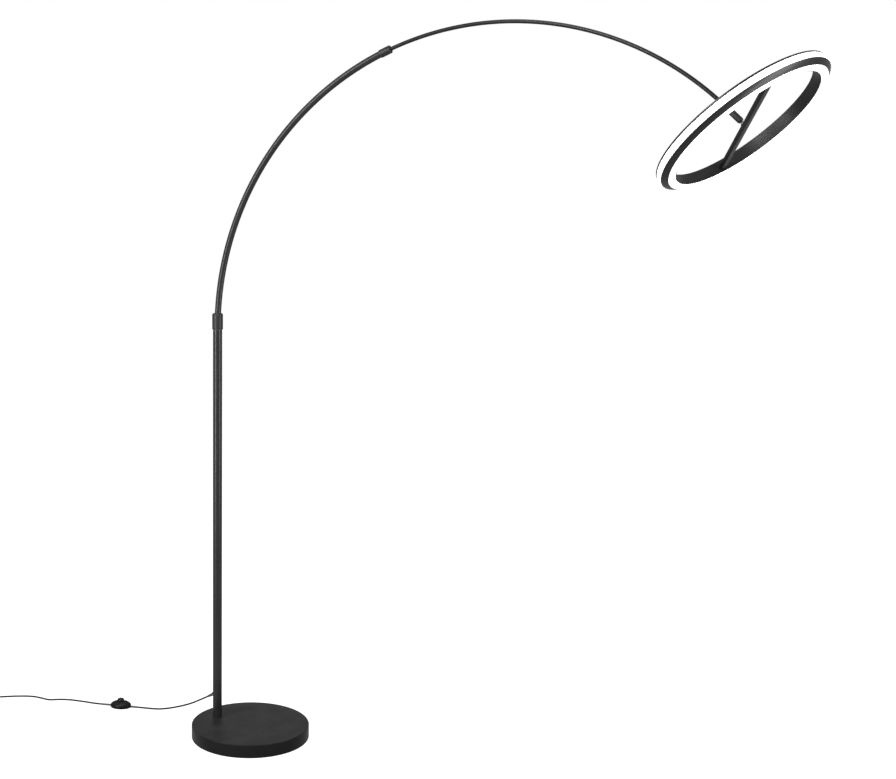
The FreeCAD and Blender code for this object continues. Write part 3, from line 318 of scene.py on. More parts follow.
# Where the arm's circle, the ball and the light head are
armFacts = {
    "arcCentre": (0.633, 0.0, 1.0735),
    "arcRadius": 0.739,
    "tubeEnd": 111.5,
    "rodTail": 116.5,
    "rodEnd": 45.9,
    "socketReach": 0.0455,
    "headTurn": -51.13,
    "headTilt": 11.14,
    "barTurn": 15.56,
    "ringHeight": 0.0246,  # the ring's front plane, from the ball's centre along the facing way
    "poleX": -0.106,
}
arcCentre = np.array(armFacts["arcCentre"])
rodEnd = math.radians(armFacts["rodEnd"])
rodWay = Vector((math.sin(rodEnd), 0, -math.cos(rodEnd)))
rodTip = Vector(arcCentre) + armFacts["arcRadius"] * Vector((math.cos(rodEnd), 0, math.sin(rodEnd)))
ballCentre = rodTip + armFacts["socketReach"] * rodWay
tiltAxis = Matrix.Rotation(math.radians(armFacts["headTurn"]), 3, rodWay) @ Vector((0, 1, 0))
facing = Matrix.Rotation(math.radians(armFacts["headTilt"]), 3, tiltAxis) @ rodWay
barWay = Matrix.Rotation(math.radians(armFacts["barTurn"]), 3, facing) @ tiltAxis
headPlace = framed(ballCentre, barWay, facing)
ringPlace = framed(ballCentre + armFacts["ringHeight"] * facing, barWay, facing)
socketPlace = framed(ballCentre, (0, 1, 0), rodWay)
poleX = armFacts["poleX"]


def arcPath(first, last, steps):
    # Spots on the arm's circle and the axes across it: out from its centre, and sideways.
    # spot = centre + radius * (cos(a), 0, sin(a))
    angle = np.radians(np.linspace(first, last, steps))
    outWay = np.stack([np.cos(angle), np.zeros(steps), np.sin(angle)], axis=1)
    sideWay = np.tile([0.0, 1.0, 0.0], (steps, 1))
    return arcCentre + armFacts["arcRadius"] * outWay, outWay, sideWay


# Base
baseCover = {
    "middle": -0.0061,
    "radius": 0.1543,
    "height": 0.0346,
    "lift": 0.001,
    "wall": 0.0015,
    "edge": 0.0022,
    "foldedEdge": 0.0006,
    "topLoops": (0.11, 0.06, 0.0),  # radii of the loops across the top
}


def makeBaseCover():
    v = baseCover
    inside = v["radius"] - v["wall"]
    corners = [
        (v["radius"], v["lift"], v["foldedEdge"]),
        (v["radius"], v["height"], v["edge"]),
        *[(radius, v["height"]) for radius in v["topLoops"]],
        (0.0, v["height"] - v["wall"]),
        (inside, v["height"] - v["wall"], v["edge"] - v["wall"]),
        (inside, v["lift"], v["foldedEdge"]),
    ]
    place = upright.copy()
    place.translation.x = v["middle"]
    lathe("baseCover", rounded(corners, 9), place, "base", ["base_cover"], steps=256)


makeBaseCover()
print("base")


# Pole, its collar and the cord's strain relief
poleFacts = {
    "radius": 0.012,
    "wall": 0.0015,
    "bottom": 0.0346,
    "top": 1.0695,
    "edge": 0.0004,
    "levels": 24,
}
swivelCollar = {
    "radius": 0.014,
    "bore": 0.0083,
    "bottom": 1.0705,
    "top": 1.1135,
    "lowerEdge": 0.0025,
    "upperEdge": 0.005,
}
glandFacts = {
    "height": 0.102,
    "slope": 30.0,
    "heading": 168.7,
    "flange": 0.0056,
    "flangeFrom": 0.0095,
    "flangeTo": 0.0175,
    "flangeEdge": 0.0012,
    "neck": 0.0006,
    "taperStart": 0.019,
    "taperFrom": 0.0042,
    "taperTo": 0.0029,
    "tip": 0.0377,
    "ribs": 6,
    "ribDepth": 0.00045,
}


def ribbedTaper(start, end, fromRadius, toRadius, ribs, depth):
    # A tapered strain relief: radius = a straight taper less a groove at the end of each rib.
    reach = np.linspace(0, 1, ribs * 10 + 1)
    groove = np.clip(np.cos(reach * ribs * 2 * np.pi) * 2 - 1, 0, 1)
    groove[[0, -1]] = 0
    return np.stack([fromRadius + (toRadius - fromRadius) * reach - depth * groove,
                     start + (end - start) * reach], axis=1)


def makePole():
    v = poleFacts
    inside = v["radius"] - v["wall"]
    levels = np.linspace(v["bottom"], v["top"], v["levels"])[1:-1]
    corners = [(v["radius"], v["bottom"], v["edge"])]
    corners += [(v["radius"], level) for level in levels]
    corners += [(v["radius"], v["top"], v["edge"]), (inside, v["top"]), (inside, v["bottom"])]
    place = upright.copy()
    place.translation.x = poleX
    lathe("poleTube", rounded(corners), place, "base", ["pole_tube"], steps=96)
    v = swivelCollar
    corners = [
        (v["bore"], v["bottom"]),
        (v["radius"], v["bottom"], v["lowerEdge"]),
        (v["radius"], v["top"], v["upperEdge"]),
        (v["bore"], v["top"]),
    ]
    lathe("swivelCollar", rounded(corners, 12), place, "arm", ["swivel_collar"], steps=96)


def makeGland():
    v = glandFacts
    slope = math.radians(v["slope"])
    heading = math.radians(v["heading"])
    way = (math.cos(slope) * math.cos(heading), math.cos(slope) * math.sin(heading), -math.sin(slope))
    place = framed((poleX, 0, v["height"]), Vector(way).orthogonal(), way)
    head = rounded([
        (0.0, v["flangeFrom"]),
        (v["flange"], v["flangeFrom"]),
        (v["flange"], v["flangeTo"], v["flangeEdge"]),
        (v["taperFrom"], v["flangeTo"] + v["neck"], v["neck"]),
    ], closed=False)
    taper = ribbedTaper(v["taperStart"], v["tip"], v["taperFrom"], v["taperTo"], v["ribs"], v["ribDepth"])
    outline = np.vstack([head, taper, [(0.0, v["tip"])]])
    lathe("cordGland", outline, place, "base", ["cord_gland"], closed=False, sharp=50)


makePole()
makeGland()
print("pole")


# Arm and rod
tubeFacts = {
    "radius": 0.00825,
    "spigotBottom": 1.0045,
}
armCollar = {
    "radius": 0.010,
    "tubeBore": 0.0083,
    "rodBore": 0.005,
    "middle": 112.1,
    "half": 0.01548,
    "tubeEnd": 0.0078,  # where the tube stops inside, from the middle
    "edge": 0.003,
}
rodFacts = {
    "radius": 0.0047,
    "straight": 0.0165,
}


def makeArm():
    v = tubeFacts
    spots, outWay, sideWay = arcPath(180, armFacts["tubeEnd"], 120)
    levels = np.linspace(v["spigotBottom"], arcCentre[2], 7)[:-1]
    spigot = np.stack([np.full_like(levels, poleX), np.zeros_like(levels), levels], axis=1)
    spots = np.vstack([spigot, spots])
    outWay = np.vstack([np.tile(outWay[0], (len(levels), 1)), outWay])
    sideWay = np.vstack([sideWay[:len(levels)], sideWay])
    carried("armTube", circle(v["radius"], 64), spots, outWay, sideWay, "arm", ["arm_tube"])
    v = armCollar
    middle = math.radians(v["middle"])
    spot = arcCentre + armFacts["arcRadius"] * np.array([math.cos(middle), 0, math.sin(middle)])
    way = (-math.sin(middle), 0, math.cos(middle))  # towards the pole, along the tube
    corners = [
        (v["rodBore"], -v["half"]),
        (v["radius"], -v["half"], v["edge"]),
        (v["radius"], v["half"], v["edge"]),
        (v["tubeBore"], v["half"]),
        (v["tubeBore"], -v["tubeEnd"]),
        (v["rodBore"], -v["tubeEnd"]),
    ]
    place = framed(spot, (0, 1, 0), way)
    lathe("armCollar", rounded(corners, 12), place, "arm", ["arm_collar"], steps=96)


def makeRod():
    v = rodFacts
    spots, outWay, sideWay = arcPath(armFacts["rodTail"], armFacts["rodEnd"], 150)
    reach = np.linspace(0, v["straight"], 4)[1:]
    tip = np.array(rodTip) + reach[:, None] * np.array(rodWay)
    spots = np.vstack([spots, tip])
    outWay = np.vstack([outWay, np.tile(outWay[-1], (len(reach), 1))])
    sideWay = np.vstack([sideWay, sideWay[:len(reach)]])
    carried("armRod", circle(v["radius"], 48), spots, outWay, sideWay, "rod", ["arm_rod"])


makeArm()
makeRod()
print("arm and rod")


# Socket, ball and crossbar
socketFacts = {
    "radius": 0.00715,
    "back": -0.043,
    "shoulder": -0.0015,
    "lip": 0.002,
    "mouth": 0.0049,
    "rim": 0.0055,
    "bore": 0.0056,
    "rodBore": 0.00475,
    "innerWall": -0.031,
    "backEdge": 0.001,
    "shoulderEdge": 0.0006,
    "rimEdge": 0.0002,
}
ballFacts = {
    "radius": 0.005,
    "neck": 0.00225,
    "bore": 0.0013,
    "top": 0.0146,
}
bossFacts = {
    "radius": 0.0055,
    "bottom": 0.0066,
    "top": 0.0096,
    "edge": 0.0006,
}
barFacts = {
    "width": 0.014,
    "back": 0.0096,
    "thick": 0.01,
    "wall": 0.0015,
    "half": 0.17731,
    "edge": 0.0009,
    "stops": 13,
}


def makeSocket():
    v = socketFacts
    outline = rounded([
        (v["rodBore"], v["back"]),
        (v["radius"], v["back"], v["backEdge"]),
        (v["radius"], v["shoulder"], v["shoulderEdge"]),
        (v["rim"], v["lip"], v["rimEdge"]),
        (v["mouth"], v["lip"]),
        (v["bore"], 0.0),
        (v["bore"], v["innerWall"]),
        (v["rodBore"], v["innerWall"]),
    ])
    lathe("headSocket", outline, socketPlace, "socket", ["head_socket"], steps=72)
    v = ballFacts
    neckAngle = math.asin(v["neck"] / v["radius"])
    boreAngle = math.asin(v["bore"] / v["radius"])
    angle = np.linspace(-math.pi / 2 + boreAngle, math.pi / 2 - neckAngle, 40)
    ball = v["radius"] * np.stack([np.cos(angle), np.sin(angle)], axis=1)
    outline = np.vstack([ball, [(v["neck"], v["top"]), (v["bore"], v["top"])]])
    lathe("ballStud", outline, headPlace, "head", ["ball_stud"], steps=64)
    v = bossFacts
    inside = ballFacts["neck"]
    corners = [
        (inside, v["bottom"]),
        (v["radius"], v["bottom"], v["edge"]),
        (v["radius"], v["top"]),
        (inside, v["top"]),
    ]
    lathe("barBoss", rounded(corners), headPlace, "head", ["bar_boss"], steps=64)


def boxSection(width, bottom, top, edge, steps):
    # A rectangle with rounded corners, its middle over x = 0.
    side = width / 2
    corners = [(-side, bottom, edge), (side, bottom, edge), (side, top, edge), (-side, top, edge)]
    return rounded(corners, steps)


def makeCrossbar():
    # A box tube: the outer and the inner section, joined at both of its ends.
    # point = origin + stop * x axis + section x * y axis + (back + section y) * z axis
    v = barFacts
    wall = v["wall"]
    outer = boxSection(v["width"], 0.0, v["thick"], v["edge"], 5)
    inner = boxSection(v["width"] - 2 * wall, wall, v["thick"] - wall, v["edge"] / 3, 5)
    there = np.linspace(-v["half"], v["half"], v["stops"])
    stops = np.concatenate([there, there[::-1]])
    sections = np.stack([outer] * v["stops"] + [inner] * v["stops"], axis=1)
    axes = np.array(headPlace.to_3x3())
    points = (np.array(headPlace.translation) + stops[None, :, None] * axes[:, 0]
              + sections[:, :, :1] * axes[:, 1] + (v["back"] + sections[:, :, 1:]) * axes[:, 2])
    faces = gridFaces(len(outer), len(stops), wrapRows=True, wrapColumns=True)
    meshPiece("crossbar", points, faces, "head", ["crossbar"])


makeSocket()
makeCrossbar()
print("joint and crossbar")


# Light ring and its two diffusers
ringFacts = {
    "inner": 0.1775,
    "backEdge": -0.027,
    "backRadius": 0.20947,
    "rimEnd": -0.028,
    "bandEnd": -0.024,
    "crownRise": 0.0045,
    "bandFloor": 0.203,
    "outerRim": 0.2099,
    "bevelDepth": -0.0103,
    "frontRim": 0.1967,
    "channelDepth": -0.0065,
    "wall": 0.0018,
    "edge": 0.0005,
}
diffuserFacts = {
    "gap": 0.0002,
    "wall": 0.0015,
    "crown": 0.0045,
    "bulge": 0.0007,
}


def makeRing():
    v = ringFacts
    edge = v["edge"]
    crownEnds = (v["inner"], v["backEdge"]), (v["backRadius"], v["rimEnd"])
    corners = [
        (v["inner"], 0.0, edge),
        (v["inner"], v["backEdge"]),
        *arcTo(*crownEnds, -v["crownRise"]).tolist(),
        (v["backRadius"], v["rimEnd"]),
        (v["backRadius"], v["bandEnd"]),
        (v["bandFloor"], v["bandEnd"]),
        (v["bandFloor"], v["bevelDepth"]),
        (v["outerRim"], v["bevelDepth"], edge / 2),
        (v["frontRim"], 0.0, edge / 2),
        (v["frontRim"], v["channelDepth"]),
        (v["inner"] + v["wall"], v["channelDepth"]),
        (v["inner"] + v["wall"], 0.0, edge),
    ]
    lathe("ringBody", rounded(corners, 5), ringPlace, "head", ["ring_body"], steps=288)


def makeDiffusers():
    v = diffuserFacts
    inner = ringFacts["inner"] + ringFacts["wall"] + v["gap"]
    outer = ringFacts["frontRim"] - v["gap"]
    wall = v["wall"]
    shelf = ringFacts["channelDepth"]
    outline = np.vstack([
        [(inner, shelf), (inner, 0.0)],
        arcTo((inner, 0.0), (outer, 0.0), v["crown"]),
        [(outer, 0.0), (outer, shelf), (outer - wall, shelf), (outer - wall, 0.0)],
        arcTo((outer - wall, 0.0), (inner + wall, 0.0), wall - v["crown"]),
        [(inner + wall, 0.0), (inner + wall, shelf)],
    ])
    lathe("frontDiffuser", outline, ringPlace, "head", ["front_diffuser"], steps=288)
    floor = ringFacts["bandFloor"]
    skin = ringFacts["outerRim"] - v["gap"]
    top = ringFacts["bevelDepth"] - v["gap"]
    bottom = ringFacts["bandEnd"] + v["gap"]
    outline = np.vstack([
        [(floor, bottom), (skin, bottom)],
        arcTo((skin, bottom), (skin, top), -v["bulge"]),
        [(skin, top), (floor, top), (floor, top - wall), (skin - wall, top - wall)],
        [(skin - wall, bottom + wall), (floor, bottom + wall)],
    ])
    lathe("outerDiffuser", outline, ringPlace, "head", ["outer_diffuser"], steps=288)


makeRing()
makeDiffusers()
print("light ring")


# Foot switch
switchFacts = {
    "centre": (-0.4275, 0.0225),
    "heading": 13.5,
    "length": 0.058,
    "width": 0.044,
    "seam": 0.006,
    "dome": 0.012,
    "wall": 0.0018,
    "floorEdge": 0.0012,
    "seamGroove": 0.0004,
    "holeRadius": 0.0099,
}
buttonFacts = {
    "radius": 0.0095,
    "flange": 0.011,
    "bottom": 0.0114,
    "flangeTop": 0.0136,
    "top": 0.0245,
    "edge": 0.004,
    "shoulderDrop": 0.0006,
    "crownDrop": 0.0001,
    "crownEdge": 0.006,
}
reliefFacts = {
    "height": 0.003,
    "start": 0.0265,
    "taperStart": 0.0295,
    "end": 0.049,
    "from": 0.0029,
    "to": 0.00258,
    "ribs": 5,
    "ribDepth": 0.0003,
}
switchHeading = math.radians(switchFacts["heading"])
switchWay = Vector((math.cos(switchHeading), math.sin(switchHeading), 0))
switchPlace = framed((*switchFacts["centre"], 0), switchWay, (0, 0, 1))


def inSwitch(x, y, z):
    # point = origin + x * x axis + y * y axis + z * z axis
    axes = np.array(switchPlace.to_3x3())
    return (np.array(switchPlace.translation) + x[..., None] * axes[:, 0]
            + y[..., None] * axes[:, 1] + z[..., None] * axes[:, 2])


def ovalLoops(insets, heights, steps=128):
    # x = (half length - inset) * cos(a), y = (half width - inset) * sin(a), z = height
    angle = np.arange(steps) * 2 * np.pi / steps
    x = (switchFacts["length"] / 2 - insets)[None, :] * np.cos(angle)[:, None]
    y = (switchFacts["width"] / 2 - insets)[None, :] * np.sin(angle)[:, None]
    return inSwitch(x, y, np.broadcast_to(heights, x.shape))


def makeLowerShell():
    v = switchFacts
    half = v["width"] / 2
    outline = rounded([
        (half, 0.0),
        (0.0, 0.0, v["floorEdge"]),
        (0.0, v["seam"] - v["seamGroove"]),
        (v["seamGroove"], v["seam"] - v["seamGroove"]),
        (v["seamGroove"], v["seam"]),
        (v["wall"], v["seam"]),
        (v["wall"], v["wall"]),
        (half, v["wall"]),
    ], closed=False)
    insets = np.minimum(outline[:, 0], half)
    points = ovalLoops(insets, outline[:, 1])
    middles = points[:, [0, -1]].mean(axis=0)
    points[:, 0], points[:, -1] = middles[0], middles[1]
    faces = gridFaces(len(points), points.shape[1], wrapRows=True)
    meshPiece("switchLowerShell", points, faces, "base", ["switch_lower_shell"])


def domeLoops(shrink, shares, steps=128):
    # Each loop's plan is a blend from the oval seam to the round hole, and
    # height = seam + dome * sqrt(1 - oval distance squared)
    v = switchFacts
    a = v["length"] / 2 - shrink
    b = v["width"] / 2 - shrink
    angle = np.arange(steps)[:, None] * 2 * np.pi / steps
    x = (a + (v["holeRadius"] - a) * shares) * np.cos(angle)
    y = (b + (v["holeRadius"] - b) * shares) * np.sin(angle)
    rise = np.sqrt(np.clip(1 - (x / a) ** 2 - (y / b) ** 2, 0, 1))
    return inSwitch(x, y, v["seam"] + (v["dome"] - shrink) * rise)


def makeUpperShell():
    shares = 1 - np.cos(np.linspace(0, math.pi / 2, 22))
    outside = domeLoops(0.0, shares)
    inside = domeLoops(switchFacts["wall"], shares)[:, ::-1]
    points = np.concatenate([outside, inside], axis=1)
    faces = gridFaces(len(points), points.shape[1], wrapRows=True, wrapColumns=True)
    meshPiece("switchUpperShell", points, faces, "base", ["switch_upper_shell"])


def makeButton():
    v = buttonFacts
    outline = rounded([
        (0.0, v["bottom"]),
        (v["flange"], v["bottom"]),
        (v["flange"], v["flangeTop"]),
        (v["radius"], v["flangeTop"]),
        (v["radius"], v["top"] - v["shoulderDrop"], v["edge"]),
        (v["radius"] / 2, v["top"] - v["crownDrop"], v["crownEdge"]),
        (0.0, v["top"]),
    ], 12, closed=False)
    lathe("footButton", outline, switchPlace, "button", ["switch_button"], steps=72, closed=False)


def makeReliefs():
    v = reliefFacts
    made = []
    for name, side in (("poleSideRelief", 1), ("plugSideRelief", -1)):
        taper = ribbedTaper(v["taperStart"], v["end"], v["from"], v["to"], v["ribs"], v["ribDepth"])
        outline = np.vstack([[(0.0, v["start"]), (v["from"], v["start"])], taper, [(0.0, v["end"])]])
        spot = (*switchFacts["centre"], v["height"])
        place = framed(spot, (0, 0, 1), side * switchWay)
        made.append(lathe(name, outline, place, "base", ["switch_reliefs"], closed=False, sharp=50))
    return made


makeLowerShell()
makeUpperShell()
makeButton()
reliefs = makeReliefs()
print("foot switch")


# Plug
plugFacts = {
    "origin": (-0.894, -0.0548),
    "heading": 99.9,
    "length": 0.036,
    "width": 0.026,
    "height": 0.014,
    "edge": 0.004,
    "endEdge": 0.0018,
    "tailInside": 0.002,
    "taperStart": 0.003,
    "tailFrom": 0.0045,
    "tailTo": 0.0029,
    "tailLength": 0.022,
    "ribs": 6,
    "ribDepth": 0.0004,
}
plugHeading = math.radians(plugFacts["heading"])
plugWay = Vector((math.cos(plugHeading), math.sin(plugHeading), 0))


def makePlug():
    v = plugFacts
    section = boxSection(v["width"], -v["height"] / 2, v["height"] / 2, v["edge"], 9)
    turn = np.linspace(0, math.pi / 2, 8)
    start = v["endEdge"] * (1 - np.cos(turn))
    inset = v["endEdge"] * (1 - np.sin(turn))
    reach = np.concatenate([start, v["length"] - start[::-1]])
    scales = 1 - np.concatenate([inset, inset[::-1]]) / (v["height"] / 2)
    way = np.array(plugWay)
    origin = np.array([*v["origin"], v["height"] / 2])
    spots = origin + reach[:, None] * way
    sideWay = np.tile(np.cross([0.0, 0.0, 1.0], way), (len(reach), 1))
    upWay = np.tile([0.0, 0.0, 1.0], (len(reach), 1))
    block = carried("plugBody", section, spots, sideWay, upWay, "base", ["plug_body"], scales=scales)
    inside = -v["tailInside"]
    taper = ribbedTaper(v["taperStart"], v["tailLength"], v["tailFrom"], v["tailTo"],
                        v["ribs"], v["ribDepth"])
    outline = np.vstack([[(0.0, inside), (v["tailFrom"], inside)], taper, [(0.0, v["tailLength"])]])
    tail = lathe("plugTail", outline, framed(origin, (0, 0, 1), -plugWay), "base", closed=False, sharp=50)
    return [block, tail]


plugPieces = makePlug()
print("plug")


# Ties round the coil
tieFacts = {
    "angles": (20.0, 215.0),
    "width": 0.005,
    "thick": 0.0004,
    "gap": 0.0002,
    "edge": 0.003,
}


def makeTies():
    # point = origin + section x * outwards + offset * sideways + section y * up
    v = tieFacts
    clear = cordFacts["diameter"] / 2 + v["gap"]
    halfWidth = (coilFacts["columns"] - 1) / 2 * coilFacts["pitch"] + clear
    floor = coilFacts["floor"] - clear
    roof = coilFacts["floor"] + coilFacts["pitch"] + clear
    inner, outer = [
        boxSection(2 * (halfWidth + grow), floor - grow, roof + grow, v["edge"] + grow, 8)
        for grow in (0.0, v["thick"])
    ]
    side = v["width"] / 2
    section = np.stack([inner, inner, outer, outer], axis=1)
    offsets = np.array([-side, side, side, -side])
    made = []
    for number, angle in enumerate(v["angles"]):
        turn = math.radians(angle)
        outWay = np.array([math.cos(turn), math.sin(turn), 0.0])
        sideWay = np.array([-math.sin(turn), math.cos(turn), 0.0])
        origin = np.array([coilCentre.x, coilCentre.y, 0.0]) + coilFacts["middle"] * outWay
        points = (origin + section[:, :, :1] * outWay + offsets[None, :, None] * sideWay
                  + section[:, :, 1:] * np.array([0.0, 0.0, 1.0]))
        faces = gridFaces(len(section), 4, wrapRows=True, wrapColumns=True)
        tie = meshPiece(f"coilTie{number + 1}", points, faces, "base")
        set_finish(tie, "black_rubber")
        made.append(tie)
    return made


ties = makeTies()


# Materials
def newGroup(name, inputs, outputs):
    # A node group with named inputs (name, kind, value) and outputs (name, kind).
    tree = bpy.data.node_groups.new(name, "ShaderNodeTree")
    for label, kind, value in inputs:
        socket = tree.interface.new_socket(label, in_out="INPUT", socket_type=f"NodeSocket{kind}")
        if value is not None:
            socket.default_value = value
    for label, kind in outputs:
        tree.interface.new_socket(label, in_out="OUTPUT", socket_type=f"NodeSocket{kind}")
    return tree, tree.nodes.new("NodeGroupInput"), tree.nodes.new("NodeGroupOutput")


def newMaterial(name):
    material = bpy.data.materials.new(name)
    material.use_nodes = True
    return material, material.node_tree, material.node_tree.nodes["Principled BSDF"]


def feed(tree, node, sources):
    # Links sockets to a node's inputs, and sets numbers and colours on them.
    for socket, source in sources.items():
        if isinstance(source, bpy.types.NodeSocket):
            tree.links.new(source, node.inputs[socket])
        else:
            node.inputs[socket].default_value = source


def add(tree, kind, sources=None, **values):
    node = tree.nodes.new(f"ShaderNode{kind}")
    for name, value in values.items():
        setattr(node, name, value)
    feed(tree, node, sources or {})
    return node


def maths(tree, operation, one, two=0.0, clamp=False):
    return add(tree, "Math", {0: one, 1: two}, operation=operation, use_clamp=clamp).outputs[0]


def blendColours(tree, factor, one, two):
    node = add(tree, "Mix", {0: factor, 6: one, 7: two}, data_type="RGBA")
    return node.outputs[2]


def makeGrainGroup():
    # Fine bumps of a sprayed or moulded skin, and a slow mottling of its tone.
    tree, given, result = newGroup("surfaceGrain", [
        ("Vector", "Vector", None), ("Scale", "Float", 900.0), ("Mottle Scale", "Float", 14.0),
    ], [("Height", "Float"), ("Tone", "Float")])
    fine = add(tree, "TexNoise", {"Vector": given.outputs["Vector"], "Scale": given.outputs["Scale"],
                                  "Detail": 2.0, "Roughness": 0.6})
    coarseScale = maths(tree, "MULTIPLY", given.outputs["Scale"], 0.31)
    coarse = add(tree, "TexVoronoi", {"Vector": given.outputs["Vector"], "Scale": coarseScale},
                 feature="SMOOTH_F1")
    pits = maths(tree, "MULTIPLY", coarse.outputs["Distance"], 0.45)
    height = maths(tree, "ADD", fine.outputs["Fac"], pits)
    slow = add(tree, "TexNoise", {"Vector": given.outputs["Vector"], "Scale": given.outputs["Mottle Scale"],
                                  "Detail": 4.0, "Roughness": 0.55})
    tree.links.new(height, result.inputs["Height"])
    tree.links.new(slow.outputs["Fac"], result.inputs["Tone"])
    return tree


def makeDustAndLitTopGroup():
    # Dust lies on faces that look up, in soft patches with a few specks; this lighter veil on the upward
    # faces is partly painted light on the tops.
    tree, given, result = newGroup("dustVeil", [
        ("Vector", "Vector", None), ("Amount", "Float", 0.3),
    ], [("Mask", "Float")])
    shape = add(tree, "NewGeometry")
    parts = add(tree, "SeparateXYZ", {0: shape.outputs["Normal"]})
    upward = add(tree, "MapRange", {"Value": parts.outputs["Z"], "From Min": 0.35, "From Max": 1.0},
                 interpolation_type="SMOOTHSTEP")
    patches = add(tree, "TexNoise", {"Vector": given.outputs["Vector"], "Scale": 22.0, "Detail": 5.0,
                                     "Roughness": 0.65})
    soft = add(tree, "MapRange", {"Value": patches.outputs["Fac"], "From Min": 0.38, "From Max": 0.7})
    specks = add(tree, "TexVoronoi", {"Vector": given.outputs["Vector"], "Scale": 260.0})
    dots = add(tree, "MapRange", {"Value": specks.outputs["Distance"], "From Min": 0.1, "From Max": 0.04})
    both = maths(tree, "ADD", soft.outputs[0], maths(tree, "MULTIPLY", dots.outputs[0], 0.8), clamp=True)
    lying = maths(tree, "MULTIPLY", both, upward.outputs[0])
    tree.links.new(maths(tree, "MULTIPLY", lying, given.outputs["Amount"]), result.inputs["Mask"])
    return tree


def makeRubAndEdgeHighlightGroup():
    # Edges where the finish is rubbed thin, and lighter edges that are partly a painted highlight: the
    # softened normal leaves the true one there.
    tree, given, result = newGroup("edgeRub", [
        ("Vector", "Vector", None), ("Radius", "Float", 0.0008), ("Amount", "Float", 0.4),
    ], [("Mask", "Float")])
    softened = add(tree, "Bevel", {"Radius": given.outputs["Radius"]}, samples=4)
    shape = add(tree, "NewGeometry")
    same = add(tree, "VectorMath", {0: softened.outputs["Normal"], 1: shape.outputs["Normal"]},
               operation="DOT_PRODUCT")
    edge = add(tree, "MapRange", {"Value": same.outputs["Value"], "From Min": 0.995, "From Max": 0.86})
    patches = add(tree, "TexNoise", {"Vector": given.outputs["Vector"], "Scale": 70.0, "Detail": 4.0})
    broken = add(tree, "MapRange", {"Value": patches.outputs["Fac"], "From Min": 0.35, "From Max": 0.65})
    rubbedAndHighlit = maths(tree, "MULTIPLY", edge.outputs[0], broken.outputs[0])
    tree.links.new(maths(tree, "MULTIPLY", rubbedAndHighlit, given.outputs["Amount"]), result.inputs["Mask"])
    return tree


def makeStreakGroup():
    # Fine lines along one way, as drawn tube, brushing or fibres have.
    tree, given, result = newGroup("fineStreaks", [
        ("Vector", "Vector", None), ("Scale", "Float", 600.0), ("Stretch", "Float", 0.05),
    ], [("Height", "Float")])
    squeeze = add(tree, "CombineXYZ", {0: 1.0, 1: 1.0, 2: given.outputs["Stretch"]})
    squeezed = add(tree, "VectorMath", {0: given.outputs["Vector"], 1: squeeze.outputs[0]},
                   operation="MULTIPLY")
    lines = add(tree, "TexNoise", {"Vector": squeezed.outputs[0], "Scale": given.outputs["Scale"],
                                   "Detail": 3.0})
    tree.links.new(lines.outputs["Fac"], result.inputs["Height"])
    return tree


grainGroup = makeGrainGroup()
dustAndLitTopGroup = makeDustAndLitTopGroup()
rubAndEdgeHighlightGroup = makeRubAndEdgeHighlightGroup()
streakGroup = makeStreakGroup()

plainFinish = {
    "colour": (0.01, 0.01, 0.0105),
    "tint": 1.25,  # the lighter tone of the mottling, as a share of the colour
    "rubbedAndHighlit": (0.05, 0.05, 0.052),
    "rubAndEdgeHighlight": 0.35,
    "rubAndEdgeHighlightRadius": 0.0008,
    "dustAndLitTopColour": (0.16, 0.155, 0.15),
    "dustAndLitTop": 0.05,
    "dustDulls": 0.3,  # roughness that a full veil of dust adds
    "roughness": 0.5,
    "roughSpread": 0.08,
    "metallic": 0.0,
    "specular": 0.25,
    "slantGloss": 1.0,  # the gloss of a face seen at a slant, as a share of its gloss straight on
    "slants": (0.25, 0.65),  # between these it changes: 0 is straight on, 1 is edge on
    "grain": 900.0,
    "mottle": 14.0,
    "depth": 0.00004,
    "bump": 0.35,
    "streaks": 0.0,
    "stretch": 0.05,
    "sheen": 0.0,
}
blackCoat = {
    "colour": (0.007, 0.007, 0.0075),
    "specular": 0.12,
    "slantGloss": 0.15,
    "roughness": 0.28,
    "rubbedAndHighlit": (0.03, 0.03, 0.031),
}
blackPlastic = {
    "colour": (0.002, 0.002, 0.0022),
    "specular": 0.05,
    "slantGloss": 0.3,
    "roughness": 0.4,
    "rubbedAndHighlit": (0.02, 0.02, 0.02),
    "dustAndLitTop": 0.02,
}
bareMetal = {
    "metallic": 1.0,
    "specular": 0.5,
}
